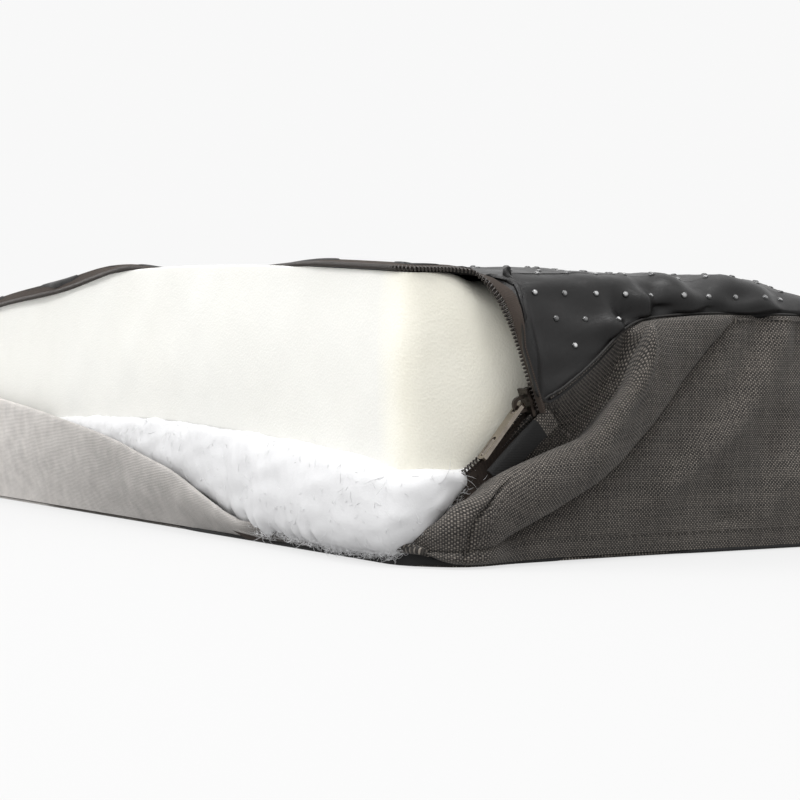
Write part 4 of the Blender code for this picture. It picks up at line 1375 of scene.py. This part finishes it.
def studio():
    """A dome that is brighter overhead, and even where the camera sees it; and three soft lamps."""
    world = bpy.data.worlds.new("studio")
    bpy.context.scene.world = world
    sky = Graph(world)
    up = sky.node("ShaderNodeSeparateXYZ", "Z", {0: sky.node("ShaderNodeTexCoord", "Generated")})
    seen = sky.node("ShaderNodeLightPath", "Is Camera Ray")
    dome = sky.remap(up, 0.0, 1.0, 0.62, 1.25)
    strength = sky.node("ShaderNodeMix", 0, {"Factor": seen, 2: dome, 3: 1.0})
    background = sky.tree.nodes["Background"]
    sky.put(background.inputs["Color"], STUDIO_GREY)
    sky.put(background.inputs["Strength"], strength)
    for name, spot, size, power in LAMPS:
        light = bpy.data.lights.new(name, "AREA")
        light.size = size
        light.energy = power
        lamp = bpy.data.objects.new(name, light)
        lamp.location = spot
        lamp.rotation_euler = (Vector(AIM) - lamp.location).to_track_quat("-Z", "Y").to_euler()
        bpy.context.scene.collection.objects.link(lamp)
    bpy.context.scene.view_settings.view_transform = "Standard"


EYE = (715.9, -434.8, 57.0)
LOOK_DOWN = math.radians(0.6)
LENS = 85.5
SENSOR = 36.0


def camera():
    """The viewpoint: level with the pad's middle, looking across its open corner."""
    data = bpy.data.cameras.new("camera")
    data.lens = LENS
    data.sensor_width = SENSOR
    data.clip_start = 0.01
    data.clip_end = 60.0
    eye = bpy.data.objects.new("camera", data)
    eye.location = Vector(EYE) * MM
    aim = Vector((-0.866, 0.5, -math.tan(LOOK_DOWN)))
    eye.rotation_euler = aim.to_track_quat("-Z", "Y").to_euler()
    bpy.context.scene.collection.objects.link(eye)
    bpy.context.scene.camera = eye


def sewing(right, right_stations, rear, left):
    """Stitches along the bands' lower edges, down the corner seam and across the band's end."""
    corner = int(np.argmax(right_stations + TURN > 20.0))
    for name, points, first in (("right", right, corner), ("rear", rear, 0), ("left", left, 0)):
        stitches(f"lower_topstitch_{name}", *level_path(points, STITCH_HEIGHT - 1.5, first))
    corner_seam = ((14.0, 4.0), (15.0, 8.0), (16.5, 13.0), (19.0, 18.0), (23.0, 24.0))
    band_end = ((45.6, 51.5), (48.0, 48.0), (51.0, 44.0), (54.0, 40.0))
    for name, keys, row_gap, rise in (("corner_seam_stitch", corner_seam, 2.4, 0.0),
                                      ("band_end_stitch", band_end, 2.2, 0.6)):
        for offset in (0.0, row_gap):
            shifted = [(side + offset, height + offset * rise) for side, height in keys]
            stitches(f"{name}_{int(offset)}", *climbing_path(right, right_stations, shifted), CLOSE_PITCH)


def main():
    foam()
    batting_fibres(*batting())

    left_end = LEFT_FRONT - ZIP_END - 3 + TURN
    right, right_stations, right_out = right_band()
    rear, rear_out = sewn_band("rear_canvas_band", RIGHT_REAR, LEFT_REAR, "rear_band", 61)
    left, left_out = sewn_band("left_canvas_band", LEFT_REAR, left_end, "left_band", 62)
    near, near_out = front_half("front_canvas_near", SPLIT_STATION, -34.0,
                                ("front_band", "front_band_near"), NEAR_BLEND)
    far, far_out = front_half("front_canvas_far", left_end - COVER.total, SPLIT_STATION,
                              ("front_band_far",), FAR_BLEND)

    line = base_zip_line()
    zip_half("base", [point for point, _ in line], [side for _, side in line])
    slack_zip("band_front", near, near_out, NEAR_BLEND)
    slack_zip("band_far", far, far_out, FAR_BLEND)
    near_zip()
    grip_dots(*grip_base(line))

    sewn = right_stations > ZIP_END - TURN + 1.0
    seam_cord("seam_edge_right", right[:, sewn], right_out[sewn])
    seam_cord("seam_edge_rear", rear, rear_out)
    seam_cord("seam_edge_left", left, left_out)
    kneeling_face()
    binding()
    facing_strip()
    polish_metal()
    sewing(right, right_stations, rear, left)

    pale_floor()
    studio()
    camera()


main()
